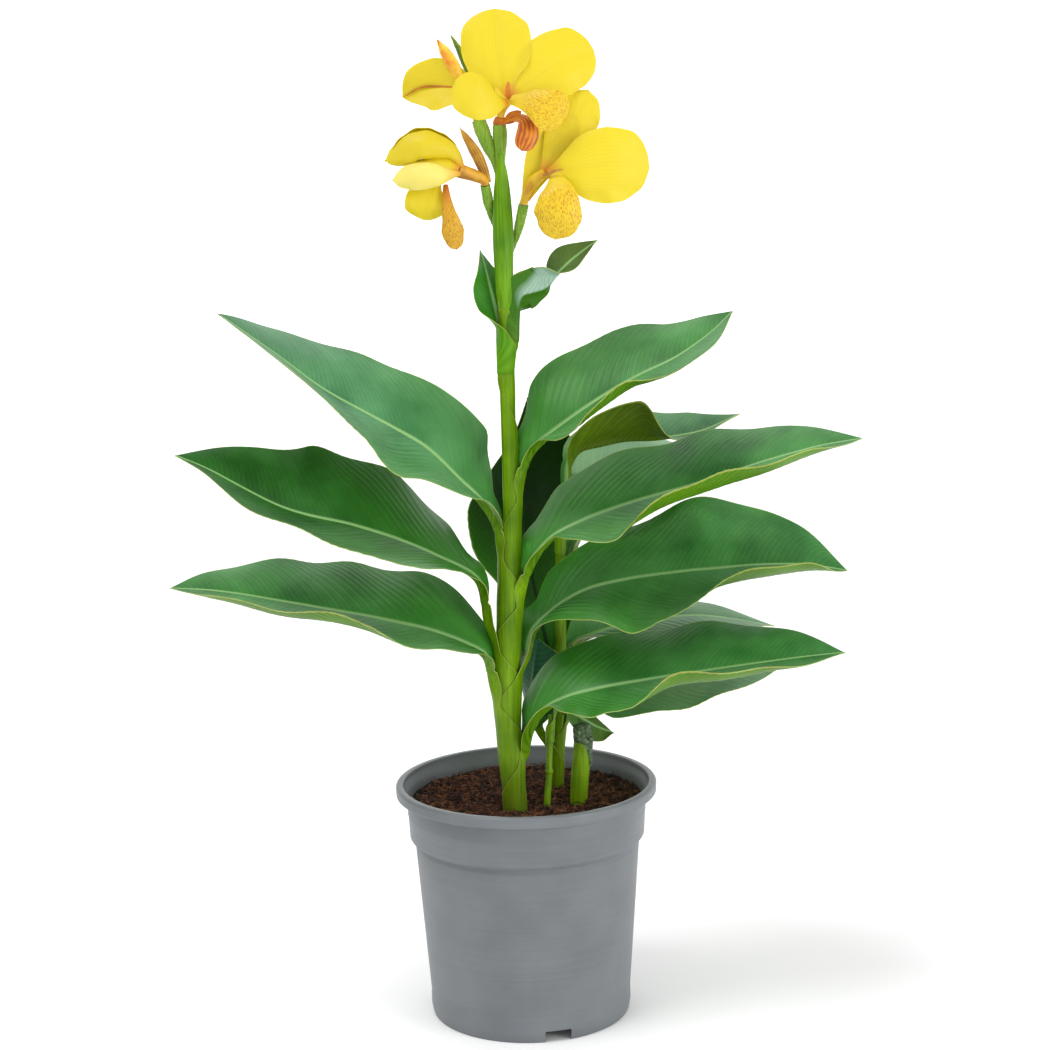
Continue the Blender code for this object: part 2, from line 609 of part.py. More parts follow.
def on_stem(table, height):
    """Axis point and radius of a stem of (x, y, z, radius) points at a height."""
    above = next(k for k, row in enumerate(table) if row[2] >= height or k == len(table) - 1)
    low, high = table[max(above - 1, 0)], table[max(above, 1)]
    share = (height - low[2]) / (high[2] - low[2])
    x, y, _, radius = (a + (b - a) * share for a, b in zip(low, high))
    return Vector((x, y, height)), radius


def main_stem():
    """The main stem's table as (x, y, z, radius) points."""
    return [(x, y, height, radius) for height, x, y, radius in STEM_TABLE]


def sheath_zones():
    """Each sheath's foot, where it comes out from under the one below, and its top."""
    order = sorted(MAIN_LEAVES, key=lambda name: MAIN_LEAVES[name]["sheath_top"])
    tops = [MAIN_LEAVES[name]["sheath_top"] for name in order]
    zones = {}
    for i, name in enumerate(order):
        foot = tops[i - 2] + SHEATH_JOG + 1.5 if i > 1 else SHEATH_IN_SOIL
        under = tops[i - 1] + 1.0 if i else None
        zones[name] = (foot, under, tops[i])
    return zones


def sheath_rings(zone):
    """Rings of a sheath as (height, distance of its inner face inside the stem, half wrap)."""
    foot, under, top = zone
    inner = SHEATH_WALL + SHEATH_STEP
    rings = []
    if under is None:
        slant_from = top - SHEATH_SLANT
        rings.append((foot, SHEATH_WALL, FULL_WRAP))
    else:
        rings += [(foot, inner, FULL_WRAP), (under, inner, FULL_WRAP)]
        slant_from = max(under + SHEATH_JOG, top - SHEATH_SLANT)
        if slant_from > under + SHEATH_JOG + 1.0:
            rings.append((under + SHEATH_JOG, SHEATH_WALL, FULL_WRAP))
    rings.append((slant_from, SHEATH_WALL, FULL_WRAP))
    for share in (0.4, 0.75):
        wrap = FULL_WRAP + (TOP_WRAP - FULL_WRAP) * share
        rings.append((slant_from + (top - slant_from) * share, SHEATH_WALL - 0.15 * share, wrap))
    rings.append((top, SHEATH_WALL - SHEATH_FLARE, TOP_WRAP))
    return rings


def stalk_row(middle, direction, mix, grip, first, stem):
    """A row of a leaf stalk, curved round the stem at its foot and like the blade at its end."""
    away = middle - on_stem(stem, middle.z)[0]
    distance = away.length
    flat = Vector((direction.x, direction.y, 0.0)) * mix + away.normalized() * 0.5
    left = Vector((0.0, 0.0, 1.0)).cross(flat).normalized()
    halves = []
    for width, angle, turn in first:
        width = grip + (width - grip) * mix
        halves.append((width, angle * mix**2, math.degrees(width / distance) * (1.0 - mix) + turn * mix))
    return Row(middle, left, direction.cross(left).normalized(), *halves, rib=RIB_SWELL * mix)


def leaf(name, spec, stem, rings, blade_rows, collection, petiole_rows=2):
    """A leaf in one piece: its sheath round the stem, its stalk and its blade."""
    heading = Vector((*spec["heading"], 0.0)).normalized()
    upright = Vector((0.0, 0.0, 1.0))
    back_is_left = heading.x > 0
    rows = []
    starts = []
    for height, inside, wrap in rings:
        axis, radius = on_stem(stem, height)
        radius -= inside
        starts.append(axis + heading * radius)
        grip = (radius * math.radians(wrap), 0.0, wrap)
        rows.append(Row(starts[-1], upright.cross(heading), -heading, grip, grip))
    route = Route(starts + [Vector(point) for point in spec["rib"]])
    blade_start = route.knots[len(rings) + spec.get("blade_from", 0)]
    blade_length = route.length - blade_start
    stalk_start = route.knots[len(rings) - 1]
    phase = len(name) + spec["rib"][0][2]
    first = halves_at(spec, 0.0, back_is_left)
    stalk_shares = [k / (petiole_rows + 1) for k in range(1, petiole_rows + 1)]
    places = [stalk_start + (blade_start - stalk_start) * share for share in stalk_shares]
    places += [blade_start + blade_length * share for share in blade_rows]
    for place in places:
        direction = route.direction(place)
        flat = Vector((direction.x, direction.y, 0.0)) + heading * 0.5
        left = upright.cross(flat).normalized()
        up = direction.cross(left).normalized()
        share = (place - blade_start) / blade_length
        if share < 0:
            mix = (place - stalk_start) / (blade_start - stalk_start)
            rows.append(stalk_row(route.at(place), direction, mix, grip[0], first, stem))
            continue
        halves = halves_at(spec, share, back_is_left)
        waves = edge_waves(share, blade_length / 62.0, phase, EDGE_WAVE)
        rows.append(Row(route.at(place), left, up, *halves, RIB_SWELL * (1.0 - 0.75 * share), waves))
    return blade(name, rows, HALF_STRIPS, BLADE_THICKNESS, collection, "leaf_green")


def petal(name, rib, facing, shape, width, angle, turn, collection, finish):
    """A petal whose upper side faces the way given, from its rib and half width."""
    route = Route(rib)
    facing = Vector(facing).normalized()
    rows = []
    for share in PETAL_ROWS:
        direction = route.direction(share * route.length, 1.0)
        left = facing.cross(direction).normalized()
        half = (width * smooth_value(shape, share), angle, turn)
        waves = edge_waves(share, 1.6, width, min(PETAL_WAVE, width * 0.1))
        up = direction.cross(left).normalized()
        rows.append(Row(route.at(share * route.length), left, up, half, half, 0.5, waves))
    return blade(name, rows, PETAL_STRIPS, PETAL_THICKNESS, collection, finish)


# Pieces

def arc_points(centre, radius, start, end, count):
    """Points on an arc in the plane of a turned profile, by angles in degrees."""
    turns = [math.radians(start + (end - start) * k / (count - 1)) for k in range(count)]
    return [(centre[0] + radius * math.cos(a), centre[1] + radius * math.sin(a)) for a in turns]


def outer_radius(height):
    """Outer radius of the pot's wall below its lip."""
    if height >= STEP_TOP:
        return COLLAR_FOOT_RADIUS + (COLLAR_TOP_RADIUS - COLLAR_FOOT_RADIUS) * (height - STEP_TOP) / (
            POT_HEIGHT - LIP_HEIGHT - STEP_TOP)
    if height <= STEP_FOOT:
        return BASE_RADIUS + (BODY_TOP_RADIUS - BASE_RADIUS) * height / STEP_FOOT
    share = (height - STEP_FOOT) / (STEP_TOP - STEP_FOOT)
    return BODY_TOP_RADIUS + (COLLAR_FOOT_RADIUS - BODY_TOP_RADIUS) * share


def turned(name, profile, collection, finish=None):
    """A solid turned from (radius, height) points that start and end on the axis."""
    mesh = bpy.data.meshes.new(name)
    points = [(radius * MM, 0.0, height * MM) for radius, height in profile]
    mesh.from_pydata(points, [(i, i + 1) for i in range(len(points) - 1)], [])
    made = bpy.data.objects.new(name, mesh)
    collection.objects.link(made)
    if finish:
        mesh.materials.append(material(finish))
    screw = made.modifiers.new("turn", "SCREW")
    screw.steps = screw.render_steps = POT_STEPS
    screw.use_merge_vertices = True
    screw.merge_threshold = 0.0001
    freeze(made)
    made.data.shade_smooth()
    made.data.set_sharp_from_angle(angle=math.radians(35))
    return made


def make_pot(parts, cutters):
    lip_foot = POT_HEIGHT - LIP_HEIGHT
    inside = [(0.0, FLOOR_UNDERSIDE + WALL)]
    inside += [(outer_radius(h) - WALL, h) for h in (FLOOR_UNDERSIDE + WALL, STEP_FOOT, STEP_TOP, lip_foot)]
    inside.append((RIM_INNER_RADIUS, POT_HEIGHT - LIP_ROUNDING))
    rim = arc_points((RIM_INNER_RADIUS + LIP_ROUNDING, POT_HEIGHT - LIP_ROUNDING), LIP_ROUNDING, 180, 90, 3)[1:]
    rim += arc_points((RIM_RADIUS - LIP_ROUNDING, POT_HEIGHT - LIP_ROUNDING), LIP_ROUNDING, 90, 0, 3)
    rim += [(RIM_RADIUS - 0.3, lip_foot + 0.6), (RIM_RADIUS - 1.2, lip_foot)]
    outside = [(outer_radius(h), h) for h in (lip_foot, STEP_TOP, STEP_FOOT, 0.0)]
    under = [(BASE_RADIUS - WALL, 0.0), (outer_radius(FLOOR_UNDERSIDE) - WALL, FLOOR_UNDERSIDE),
             (BOSS_RADIUS + 1.0, FLOOR_UNDERSIDE), (BOSS_RADIUS, 0.0), (0.0, 0.0)]
    pot = turned("pot", inside + rim + outside + under, parts, "pot_grey")
    notches = []
    for k in range(NOTCH_COUNT):
        bm = bmesh.new()
        bmesh.ops.create_cube(bm, size=1.0)
        size = (BASE_RADIUS * 0.5, NOTCH_WIDTH, 2 * NOTCH_HEIGHT)
        bmesh.ops.scale(bm, verts=bm.verts, vec=[length * MM for length in size])
        notch = object_from_bmesh(f"notch_{k}", bm, cutters)
        turn = math.radians(NOTCH_FIRST_ANGLE + 360 * k / NOTCH_COUNT)
        notch.rotation_euler.z = turn
        notch.location = Vector((math.cos(turn), math.sin(turn), 0.0)) * BASE_RADIUS * MM
        notches.append(notch)
    cut_all(pot, notches)
    return pot


def make_soil(parts, cutters):
    top_radius = outer_radius(SOIL_LEVEL) - WALL - GAP
    foot = FLOOR_UNDERSIDE + WALL + GAP
    profile = [(radius, SOIL_LEVEL) for radius in SOIL_RINGS]
    profile += [(outer_radius(h) - WALL - GAP, h) for h in (SOIL_LEVEL, STEP_TOP, STEP_FOOT, foot)]
    profile.append((0.0, foot))
    soil = turned("soil", profile, parts, "soil_brown")
    for vert in soil.data.vertices:
        radius = math.hypot(vert.co.x, vert.co.y) / MM
        if abs(vert.co.z / MM - SOIL_LEVEL) < 0.1 and radius < top_radius - 1.0:
            vert.co.z += noise.noise(vert.co / MM / 14.0) * SOIL_ROUGHNESS * MM
    holes = []
    feet = [stem[1] for stem in (main_stem(), BACK_STEM, THIN_STEM, STUMP)]
    for k, (x, y, _, radius) in enumerate(feet):
        bm = bmesh.new()
        size = (radius + HOLE_CLEARANCE) * MM
        depth = (STEM_DEPTH + SOIL_ROUGHNESS + 5) * MM
        bmesh.ops.create_cone(bm, cap_ends=True, segments=12, radius1=size, radius2=size, depth=depth)
        hole = object_from_bmesh(f"stem_hole_{k}", bm, cutters)
        hole.location = Vector((x, y, SOIL_LEVEL - STEM_DEPTH - GAP)) * MM + Vector((0, 0, depth / 2))
        holes.append(hole)
    cut_all(soil, holes)
    return soil


def make_stem(parts):
    """The flowering stem inside its leaf sheaths, with the stalks and ovaries of the blooms."""
    points = []
    for x, y, height, radius in main_stem():
        points.append((x, y, height, radius if height >= CORE_BARE_FROM else radius - CORE_INSET))
    stem = tube("stem_main", points, parts, "stem_green", smooth=False)
    join_all(stem, [tube(f"stalk_{k}", stalk, parts) for k, stalk in enumerate(STALKS)])
    return stem


def make_bract(parts):
    rows = []
    for height, front, radius, wrap in BRACT:
        middle = Vector((BRACT_AXIS[0], BRACT_AXIS[1] - front, height))
        half = (radius * math.radians(wrap), 0.0, wrap)
        rows.append(Row(middle, Vector((1.0, 0.0, 0.0)), Vector((0.0, 1.0, 0.0)), half, half))
    return blade("bract", rows, HALF_STRIPS, BLADE_THICKNESS, parts, "bract_green")


def make_back_leaf(name, spec, stem, parts):
    """A leaf of the back shoots: only the top of its sheath stands off the stem."""
    top = spec["height"]
    rings = [(top - BACK_SHEATH_LENGTH, -GAP, BACK_LEAF_WRAP), (top, -GAP, BACK_LEAF_WRAP * 0.8)]
    return leaf(name, spec, stem, rings, BACK_LEAF_ROWS, parts, petiole_rows=1)


def make_bloom(name, spec, finish, parts):
    base = tube(name, spec["tube"], parts, finish)
    petals = [petal(f"{name}_petal_{k}", *values, parts, finish) for k, values in enumerate(spec["petals"])]
    join_all(base, petals)
    return base


def main():
    clear_scene()
    parts = new_collection("canna_lily")
    cutters = new_collection("cutters")
    cutters.hide_render = True
    make_pot(parts, cutters)
    make_soil(parts, cutters)
    make_stem(parts)
    zones = sheath_zones()
    for name, spec in MAIN_LEAVES.items():
        leaf(name, spec, main_stem(), sheath_rings(zones[name]), BLADE_ROWS, parts)
    tube("stem_back", BACK_STEM, parts, "stem_green", smooth=False)
    tube("stem_thin", THIN_STEM, parts, "stem_green", smooth=False)
    tube("stem_stump", STUMP, parts, "cut_stem", smooth=False)
    for name, spec in BACK_LEAVES.items():
        make_back_leaf(name, spec, BACK_STEM, parts)
    make_back_leaf("leaf_young", YOUNG_LEAF, THIN_STEM, parts)
    make_bract(parts)
    for name, spec in CALYX.items():
        make_bloom(name, spec, "calyx_orange", parts)
    for name, spec in BLOOMS.items():
        make_bloom(name, spec, "petal_yellow", parts)


main()
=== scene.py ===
"""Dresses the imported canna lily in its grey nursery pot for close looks.

Tables are in millimetres and meshes in metres. +Z is up, -Y is the front, and the origin is the
centre of the pot's base. The plant's leaves stand in two ranks, to -X and to +X.
"""

from __future__ import annotations

import logging
import math
import random
from dataclasses import dataclass, field
from enum import Enum
from typing import Callable, Iterable, Sequence

import bmesh
import bpy
from mathutils import Matrix, Vector, noise


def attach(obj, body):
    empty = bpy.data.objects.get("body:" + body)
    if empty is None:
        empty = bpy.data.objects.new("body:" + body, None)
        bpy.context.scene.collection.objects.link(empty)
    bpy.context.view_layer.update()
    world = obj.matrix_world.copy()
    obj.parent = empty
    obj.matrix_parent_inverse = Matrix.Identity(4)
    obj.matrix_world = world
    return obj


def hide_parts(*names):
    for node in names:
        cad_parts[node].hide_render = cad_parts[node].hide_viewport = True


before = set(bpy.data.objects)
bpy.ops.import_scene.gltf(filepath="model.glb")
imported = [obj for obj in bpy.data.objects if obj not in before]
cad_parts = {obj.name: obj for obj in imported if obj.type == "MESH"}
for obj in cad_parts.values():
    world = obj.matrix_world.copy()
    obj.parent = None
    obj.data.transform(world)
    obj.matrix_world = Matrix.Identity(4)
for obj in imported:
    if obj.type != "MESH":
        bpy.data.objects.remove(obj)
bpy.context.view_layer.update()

MM = 0.001
UPRIGHT = Vector((0.0, 0.0, 1.0))
LOG = logging.getLogger("canna_lily")

Keys = tuple[tuple[float, ...], ...]
Half = tuple[float, float, float]
Socket = bpy.types.NodeSocket
Tree = bpy.types.NodeTree
Material = bpy.types.Material
Piece = bpy.types.Object


class Slot(Enum):
    """The record's material slots."""

    POT = "pot"
    SOIL = "soil"
    LEAF = "leaf"
    STEM = "stem"
    BRACT = "bract"
    PETAL = "petal"
    CALYX = "calyx"
    CUT_STEM = "cut_stem"


class LeafTone(Enum):
    """How deep a leaf's green is: its upper face and its veins there, its underside and the veins there."""

    FRONT = ("1c6020", "4e9646", "3f6a0a", "5a8a10")
    # This tone is painted reflection: a bluer, lighter green standing in for the sheen a glossy leaf catches.
    PAINTED_BLUE_SHEEN = ("226238", "579560", "44700e", "6a9a1c")
    DEEP = ("12480a", "2f7524", "3f6a0a", "5a8a10")
    # This tone is painted reflection: a greyer, lighter green standing in for a haze of sheen.
    PAINTED_HAZE = ("2a6234", "659a66", "455c08", "58700f")
    PALE = ("6b9670", "94ba90", "55782c", "7a9c48")
    # This tone is painted shade: near-black greens on both faces, for a leaf that stands in shade behind the
    # stem.
    SHADED = ("0b2702", "143503", "102503", "1a3203")
    DUSKY = ("1c5230", "2c6840", "174a2a", "205634")
    TOP = ("1c6406", "3c8c15", "4a860c", "62a012")
    OLIVE = ("34541a", "587a2c", "1c4a10", "3c6c22")
    TWISTED = ("34541a", "587a2c", "8cab97", "9dbca8")


class Outline(Enum):
    """Half widths of a petal along its length, as shares of the widest."""

    ROUND = ((0, 0.18), (0.2, 0.5), (0.45, 0.88), (0.65, 1.0), (0.83, 0.84), (0.95, 0.45), (1, 0))
    BLUNT = ((0, 0.15), (0.15, 0.42), (0.35, 0.85), (0.58, 1.0), (0.78, 0.93), (0.92, 0.65),
             (0.98, 0.32), (1, 0))
    FAN = ((0, 0.22), (0.25, 0.45), (0.5, 0.78), (0.72, 1.0), (0.88, 0.88), (0.97, 0.5), (1, 0))
    LONG = ((0, 0.3), (0.25, 0.8), (0.5, 1.0), (0.75, 0.8), (0.92, 0.38), (1, 0))
    SPIKE = ((0, 0.55), (0.3, 0.95), (0.5, 1.0), (0.8, 0.62), (0.95, 0.2), (1, 0))


class Tissue(Enum):
    """Which kind of flower tissue a petal is."""

    PETAL = "petal"
    LIP = "lip"
    TEPAL = "tepal"
    GOLD = "gold"
    # A paler copy of the petal tissue: painted highlight on a petal that catches the light.
    PALE = "pale"
    ORANGE_LIP = "orange_lip"


# Materials

def linear(colour: str) -> tuple[float, float, float, float]:
    """Turns an sRGB hex colour into linear light.

    Args:
        colour: Six hex digits.
    Returns:
        Red, green, blue and an alpha of one.
    """
    shares = [int(colour[k:k + 2], 16) / 255 for k in (0, 2, 4)]
    light = [s / 12.92 if s <= 0.04045 else ((s + 0.055) / 1.055) ** 2.4 for s in shares]
    return (*light, 1.0)


def feed(tree: Tree, node: bpy.types.Node, inputs: dict) -> None:
    """Gives a node's inputs their values and links.

    Args:
        tree: The node tree it stands in.
        node: The node.
        inputs: What feeds each input, by the input's name or number: a value or another socket.
    """
    for key, value in inputs.items():
        if isinstance(value, Socket):
            tree.links.new(value, node.inputs[key])
        else:
            node.inputs[key].default_value = value


def add(tree: Tree, kind: str, links: dict | None = None, stops: Keys = (), give: str | int = 0,
        **settings) -> Socket:
    """Adds one shader node with its settings and links.

    Args:
        tree: The node tree it goes in.
        kind: Its type's name after "ShaderNode".
        links: What feeds each input, by the input's name or number: a value or another socket.
        stops: Where it is a colour ramp, its places with hex colours or grey values.
        give: The name or number of the output wanted.
        settings: The node's own settings.
    Returns:
        That output of the new node.
    """
    node = tree.nodes.new("ShaderNode" + kind)
    for name, value in settings.items():
        setattr(node, name, value)
    feed(tree, node, links or {})
    if stops:
        ramp = node.color_ramp.elements
        ramp[0].position, ramp[-1].position = stops[0][0], stops[-1][0]
        for place, _ in stops[1:-1]:
            ramp.new(place)
        for element, (_, colour) in zip(ramp, stops):
            element.color = linear(colour) if isinstance(colour, str) else (colour, colour, colour, 1.0)
    return node.outputs[give]


@dataclass(frozen=True)
class Finish:
    """A surface as its maker or its growth left it."""

    label: str

    def material(self) -> Material:
        """The finish's material, made the first time it is asked for."""
        found = bpy.data.materials.get(self.label)
        if found:
            return found
        made = bpy.data.materials.new(self.label)
        made.use_nodes = True
        self.paint(made.node_tree, made.node_tree.nodes["Principled BSDF"])
        return made

    def paint(self, tree: Tree, skin: bpy.types.Node) -> None:
        """Builds the nodes that feed the shader.

        Args:
            tree: The material's node tree.
            skin: Its Principled shader.
        """
        raise NotImplementedError


@dataclass(frozen=True)
class MouldedPolypropylene(Finish):
    """Injection-moulded PP: mid grey, satin, cloudy, with faint turning lines from its mould."""

    colour: str = "65696d"
    streak: str = "73787c"

    def paint(self, tree: Tree, skin: bpy.types.Node) -> None:
        """Grey with cloudy patches, faint turning lines about 1.5 mm apart and a fine eroded grain."""
        place = add(tree, "TexCoord", give="Object")
        drawn = add(tree, "Mapping", {"Vector": place, "Scale": (9.0, 9.0, 650.0)})
        bands = add(tree, "TexNoise", {"Vector": drawn, "Scale": 1.0, "Detail": 3.0})
        rubs = add(tree, "TexNoise", {"Vector": place, "Scale": 26.0, "Detail": 6.0})
        blend = add(tree, "Math", {0: bands, 1: 0.35, 2: rubs}, operation="MULTIPLY_ADD")
        colour = add(tree, "ValToRGB", {"Fac": blend}, stops=((0.45, self.colour), (0.95, self.streak)))
        # Spark-eroded mould grain is about 0.1 mm, drawn at 0.8 mm so that it shows
        grain = add(tree, "TexNoise", {"Vector": place, "Scale": 1250.0, "Detail": 2.0})
        rough = add(tree, "MapRange", {"Value": rubs, "To Min": 0.36, "To Max": 0.52})
        bump = add(tree, "Bump", {"Height": grain, "Distance": 0.00003, "Strength": 0.5})
        wave = add(tree, "Bump", {"Height": bands, "Distance": 0.00008, "Strength": 0.5,
                                  "Normal": bump})
        feed(tree, skin, {"Base Color": colour, "Roughness": rough,
                          "Normal": wave, "IOR": 1.49})


@dataclass(frozen=True)
class PeatAndCoir(Finish):
    """Damp peat with coir pith: near black in the hollows, partly its own colour and partly painted shade,
    rusty on the raised crumbs.
    """

    dark: str = "0a0502"
    middle: str = "1b0f08"
    raised: str = "3e2313"

    def paint(self, tree: Tree, skin: bpy.types.Node) -> None:
        """Crumbs of 2 to 4 mm, tinted by a wider noise."""
        place = add(tree, "TexCoord", give="Object")
        crumbs = add(tree, "TexVoronoi", {"Vector": place, "Scale": 330.0, "Randomness": 1.0})
        wide = add(tree, "TexNoise", {"Vector": place, "Scale": 70.0, "Detail": 8.0, "Roughness": 0.7})
        mix = add(tree, "Math", {0: crumbs, 1: wide}, operation="MULTIPLY")
        # The colour follows the bump: its hollows are painted near black, partly the damp peat's own colour
        # and partly painted shade.
        colour = add(tree, "ValToRGB", {"Fac": mix},
                     stops=((0.05, self.dark), (0.3, self.middle), (0.55, self.raised)))
        bump = add(tree, "Bump", {"Height": mix, "Distance": 0.002, "Strength": 0.9})
        feed(tree, skin, {"Base Color": colour, "Normal": bump, "Roughness": 0.92,
                          "Specular IOR Level": 0.25})


@dataclass(frozen=True)
class CoirFibre(Finish):
    """Coconut fibre: dry, red-brown, paler where it has frayed."""

    dark: str = "2c150b"
    light: str = "8f5c34"

    def paint(self, tree: Tree, skin: bpy.types.Node) -> None:
        """A tint that changes from fibre to fibre, over about 6 mm."""
        place = add(tree, "TexCoord", give="Object")
        tint = add(tree, "TexNoise", {"Vector": place, "Scale": 170.0, "Detail": 3.0, "Roughness": 0.6})
        colour = add(tree, "ValToRGB", {"Fac": tint},
                     stops=((0.34, self.dark), (0.5, "4a2615"), (0.64, self.light)))
        feed(tree, skin, {"Base Color": colour, "Roughness": 0.8})


@dataclass(frozen=True)
class LeafFace(Finish):
    """A canna leaf's upper face: a waxy cuticle over deep green, paler along each side vein."""

    tone: LeafTone = LeafTone.FRONT
    rib: str = "8dbb74"
    edge: str = "9cb860"

    def paint(self, tree: Tree, skin: bpy.types.Node) -> None:
        """Side veins 4 mm apart, a pale midrib that tapers to the tip, and a thin pale margin."""
        deep, vein_colour = self.tone.value[:2]
        shaded_or_dusky = self.tone in (LeafTone.SHADED, LeafTone.DUSKY)
        place = add(tree, "TexCoord", give="Object")
        vein, out, share, edge = (add(tree, "Attribute", give="Fac", attribute_name=name)
                                  for name in ("vein", "out", "share", "edge"))
        mottle = add(tree, "TexNoise", {"Vector": place, "Scale": 28.0, "Detail": 4.0})
        # The finest side veins are 1 mm apart, drawn at 2 mm so that they show
        lines = []
        for pitch in (4.3, 1.9):
            wave = add(tree, "Math", {0: vein, 1: math.tau / pitch}, operation="MULTIPLY")
            ridge = add(tree, "Math", {0: wave}, operation="SINE")
            lines.append(add(tree, "MapRange", {"Value": ridge, "From Min": 0.1, "From Max": 1.0}))
        both = add(tree, "Math", {0: lines[0], 1: 0.7, 2: lines[1]}, operation="MULTIPLY_ADD")
        patches = add(tree, "TexNoise", {"Vector": place, "Scale": 55.0, "Detail": 2.0})
        faint = add(tree, "Math", {0: both, 1: patches}, operation="MULTIPLY")
        shade = add(tree, "Math", {0: faint, 1: 0.22, 2: mottle}, operation="MULTIPLY_ADD")
        green = add(tree, "ValToRGB", {"Fac": shade}, stops=((0.3, deep), (0.8, vein_colour)))
        inner = add(tree, "MapRange", {"Value": edge, "From Min": 0.9, "To Min": 0.75})
        base = add(tree, "MapRange",
                   {"Value": share, "From Min": 0.5, "From Max": 0.0, "To Max": 0.8})
        young = add(tree, "Math", {0: base, 1: inner}, operation="MULTIPLY")
        fresh = add(tree, "MixRGB", {0: young, 1: green, 2: linear("3f8a1c")})
        width = add(tree, "MapRange", {"Value": share, "To Min": 2.3, "To Max": 0.6})
        near = add(tree, "Math", {0: out, 1: width}, operation="DIVIDE")
        rib = add(tree, "MapRange", {"Value": near, "From Min": 1.25, "From Max": 0.45})
        # On the shaded and dusky tones the pale midrib is drawn in the vein colour; on the shaded tone this
        # is painted shade.
        ribbed = add(tree, "MixRGB",
                     {0: rib, 1: fresh, 2: linear(vein_colour if shaded_or_dusky else self.rib)})
        rim = add(tree, "MapRange", {"Value": edge, "From Min": 0.985, "From Max": 0.998})
        colour = add(tree, "MixRGB", {0: rim, 1: ribbed, 2: linear(self.edge)})
        rough = add(tree, "MapRange", {"Value": mottle, "To Min": 0.34, "To Max": 0.5})
        bump = add(tree, "Bump", {"Height": faint, "Distance": 0.0002, "Strength": 0.6})
        feed(tree, skin, {"Base Color": colour, "Roughness": rough,
                          "Normal": bump, "Specular IOR Level": 0.08 if shaded_or_dusky else 0.32,
                          "Coat Weight": 0.0 if shaded_or_dusky else 0.07, "Coat Roughness": 0.3})


@dataclass(frozen=True)
class LeafUnderside(Finish):
    """The same leaf from below and outside: light yellow-green, striped along stalk and sheath."""

    tone: LeafTone = LeafTone.FRONT

    def paint(self, tree: Tree, skin: bpy.types.Node) -> None:
        """Side veins on the blade, strands about 1.7 mm wide on the stalk, a dry edge on the sheath."""
        place = add(tree, "TexCoord", give="Object")
        vein, share, edge = (add(tree, "Attribute", give="Fac", attribute_name=name)
                             for name in ("vein", "share", "edge"))
        on_blade = add(tree, "MapRange", {"Value": share, "From Min": -0.2, "From Max": 0.12})
        mottle = add(tree, "TexNoise", {"Vector": place, "Scale": 40.0, "Detail": 4.0})
        across = add(tree, "Math", {0: vein, 1: math.tau / 4.1}, operation="MULTIPLY")
        wave = add(tree, "Math", {0: across}, operation="SINE")
        drawn = add(tree, "Mapping", {"Vector": place, "Scale": (600.0, 600.0, 14.0)})
        strands = add(tree, "TexNoise", {"Vector": drawn, "Scale": 1.0, "Detail": 2.0})
        veins = add(tree, "MapRange", {"Value": wave, "From Min": -1.0, "To Max": 0.5})
        shade = add(tree, "MixRGB", {0: on_blade, 1: strands, 2: veins})
        stripe = add(tree, "Math", {0: shade, 1: mottle}, operation="ADD")
        half = add(tree, "Math", {0: stripe, 1: 0.5}, operation="MULTIPLY")
        green = add(tree, "ValToRGB", {"Fac": half},
                    stops=((0.34, "4f7400"), (0.5, "668e02"), (0.66, "7ca608")))
        # The oldest sheaths are dull and brown near the soil, 160 to 200 mm up
        height = add(tree, "SeparateXYZ", {0: place}, give=2)
        low = add(tree, "MapRange",
                  {"Value": height, "From Min": 0.205, "From Max": 0.155, "To Max": 1.1})
        earthy = add(tree, "Math", {0: low, 1: mottle}, operation="MULTIPLY")
        sheath = add(tree, "MixRGB", {0: earthy, 1: green, 2: linear("5a5a1c")})
        dark, light = self.tone.value[2:]
        blade = add(tree, "ValToRGB", {"Fac": stripe}, stops=((0.35, dark), (1.0, light)))
        if self.tone is LeafTone.TWISTED:
            # The grey wax shows only on the half that faces up, away from the stem; the hanging half and the
            # part near the stem are painted dark green: painted shade.
            signed = add(tree, "Attribute", give="Fac", attribute_name="side")
            upper = add(tree, "MapRange", {"Value": signed, "From Min": -0.04, "From Max": 0.02})
            grown = add(tree, "MapRange", {"Value": share, "From Min": 0.22, "From Max": 0.34})
            wax_outside_painted_shade = add(tree, "Math", {0: upper, 1: grown}, operation="MULTIPLY")
            blade = add(tree, "MixRGB", {0: wax_outside_painted_shade, 1: linear("3a6e12"), 2: blade})
        skin_colour = add(tree, "MixRGB", {0: on_blade, 1: sheath, 2: blade})
        dry = add(tree, "MapRange", {"Value": edge, "From Min": 0.965, "From Max": 0.99})
        colour = add(tree, "MixRGB", {0: dry, 1: skin_colour, 2: linear("9aa446")})
        bump = add(tree, "Bump", {"Height": stripe, "Distance": 0.0002, "Strength": 0.5})
        shaded_or_dusky = self.tone in (LeafTone.SHADED, LeafTone.DUSKY)
        feed(tree, skin, {"Base Color": colour, "Normal": bump,
                          "Specular IOR Level": 0.08 if shaded_or_dusky else 0.2, "Roughness": 0.42})


@dataclass(frozen=True)
class LeafMargin(Finish):
    """The drying rim of a leaf or sheath: straw with brown stretches."""

    def paint(self, tree: Tree, skin: bpy.types.Node) -> None:
        """Straw and brown change over about 15 mm."""
        place = add(tree, "TexCoord", give="Object")
        tint = add(tree, "TexNoise", {"Vector": place, "Scale": 60.0, "Detail": 3.0})
        colour = add(tree, "ValToRGB", {"Fac": tint},
                     stops=((0.34, "8a8440"), (0.48, "93a84e"), (0.7, "a6bc6a")))
        feed(tree, skin, {"Base Color": colour, "Roughness": 0.6})


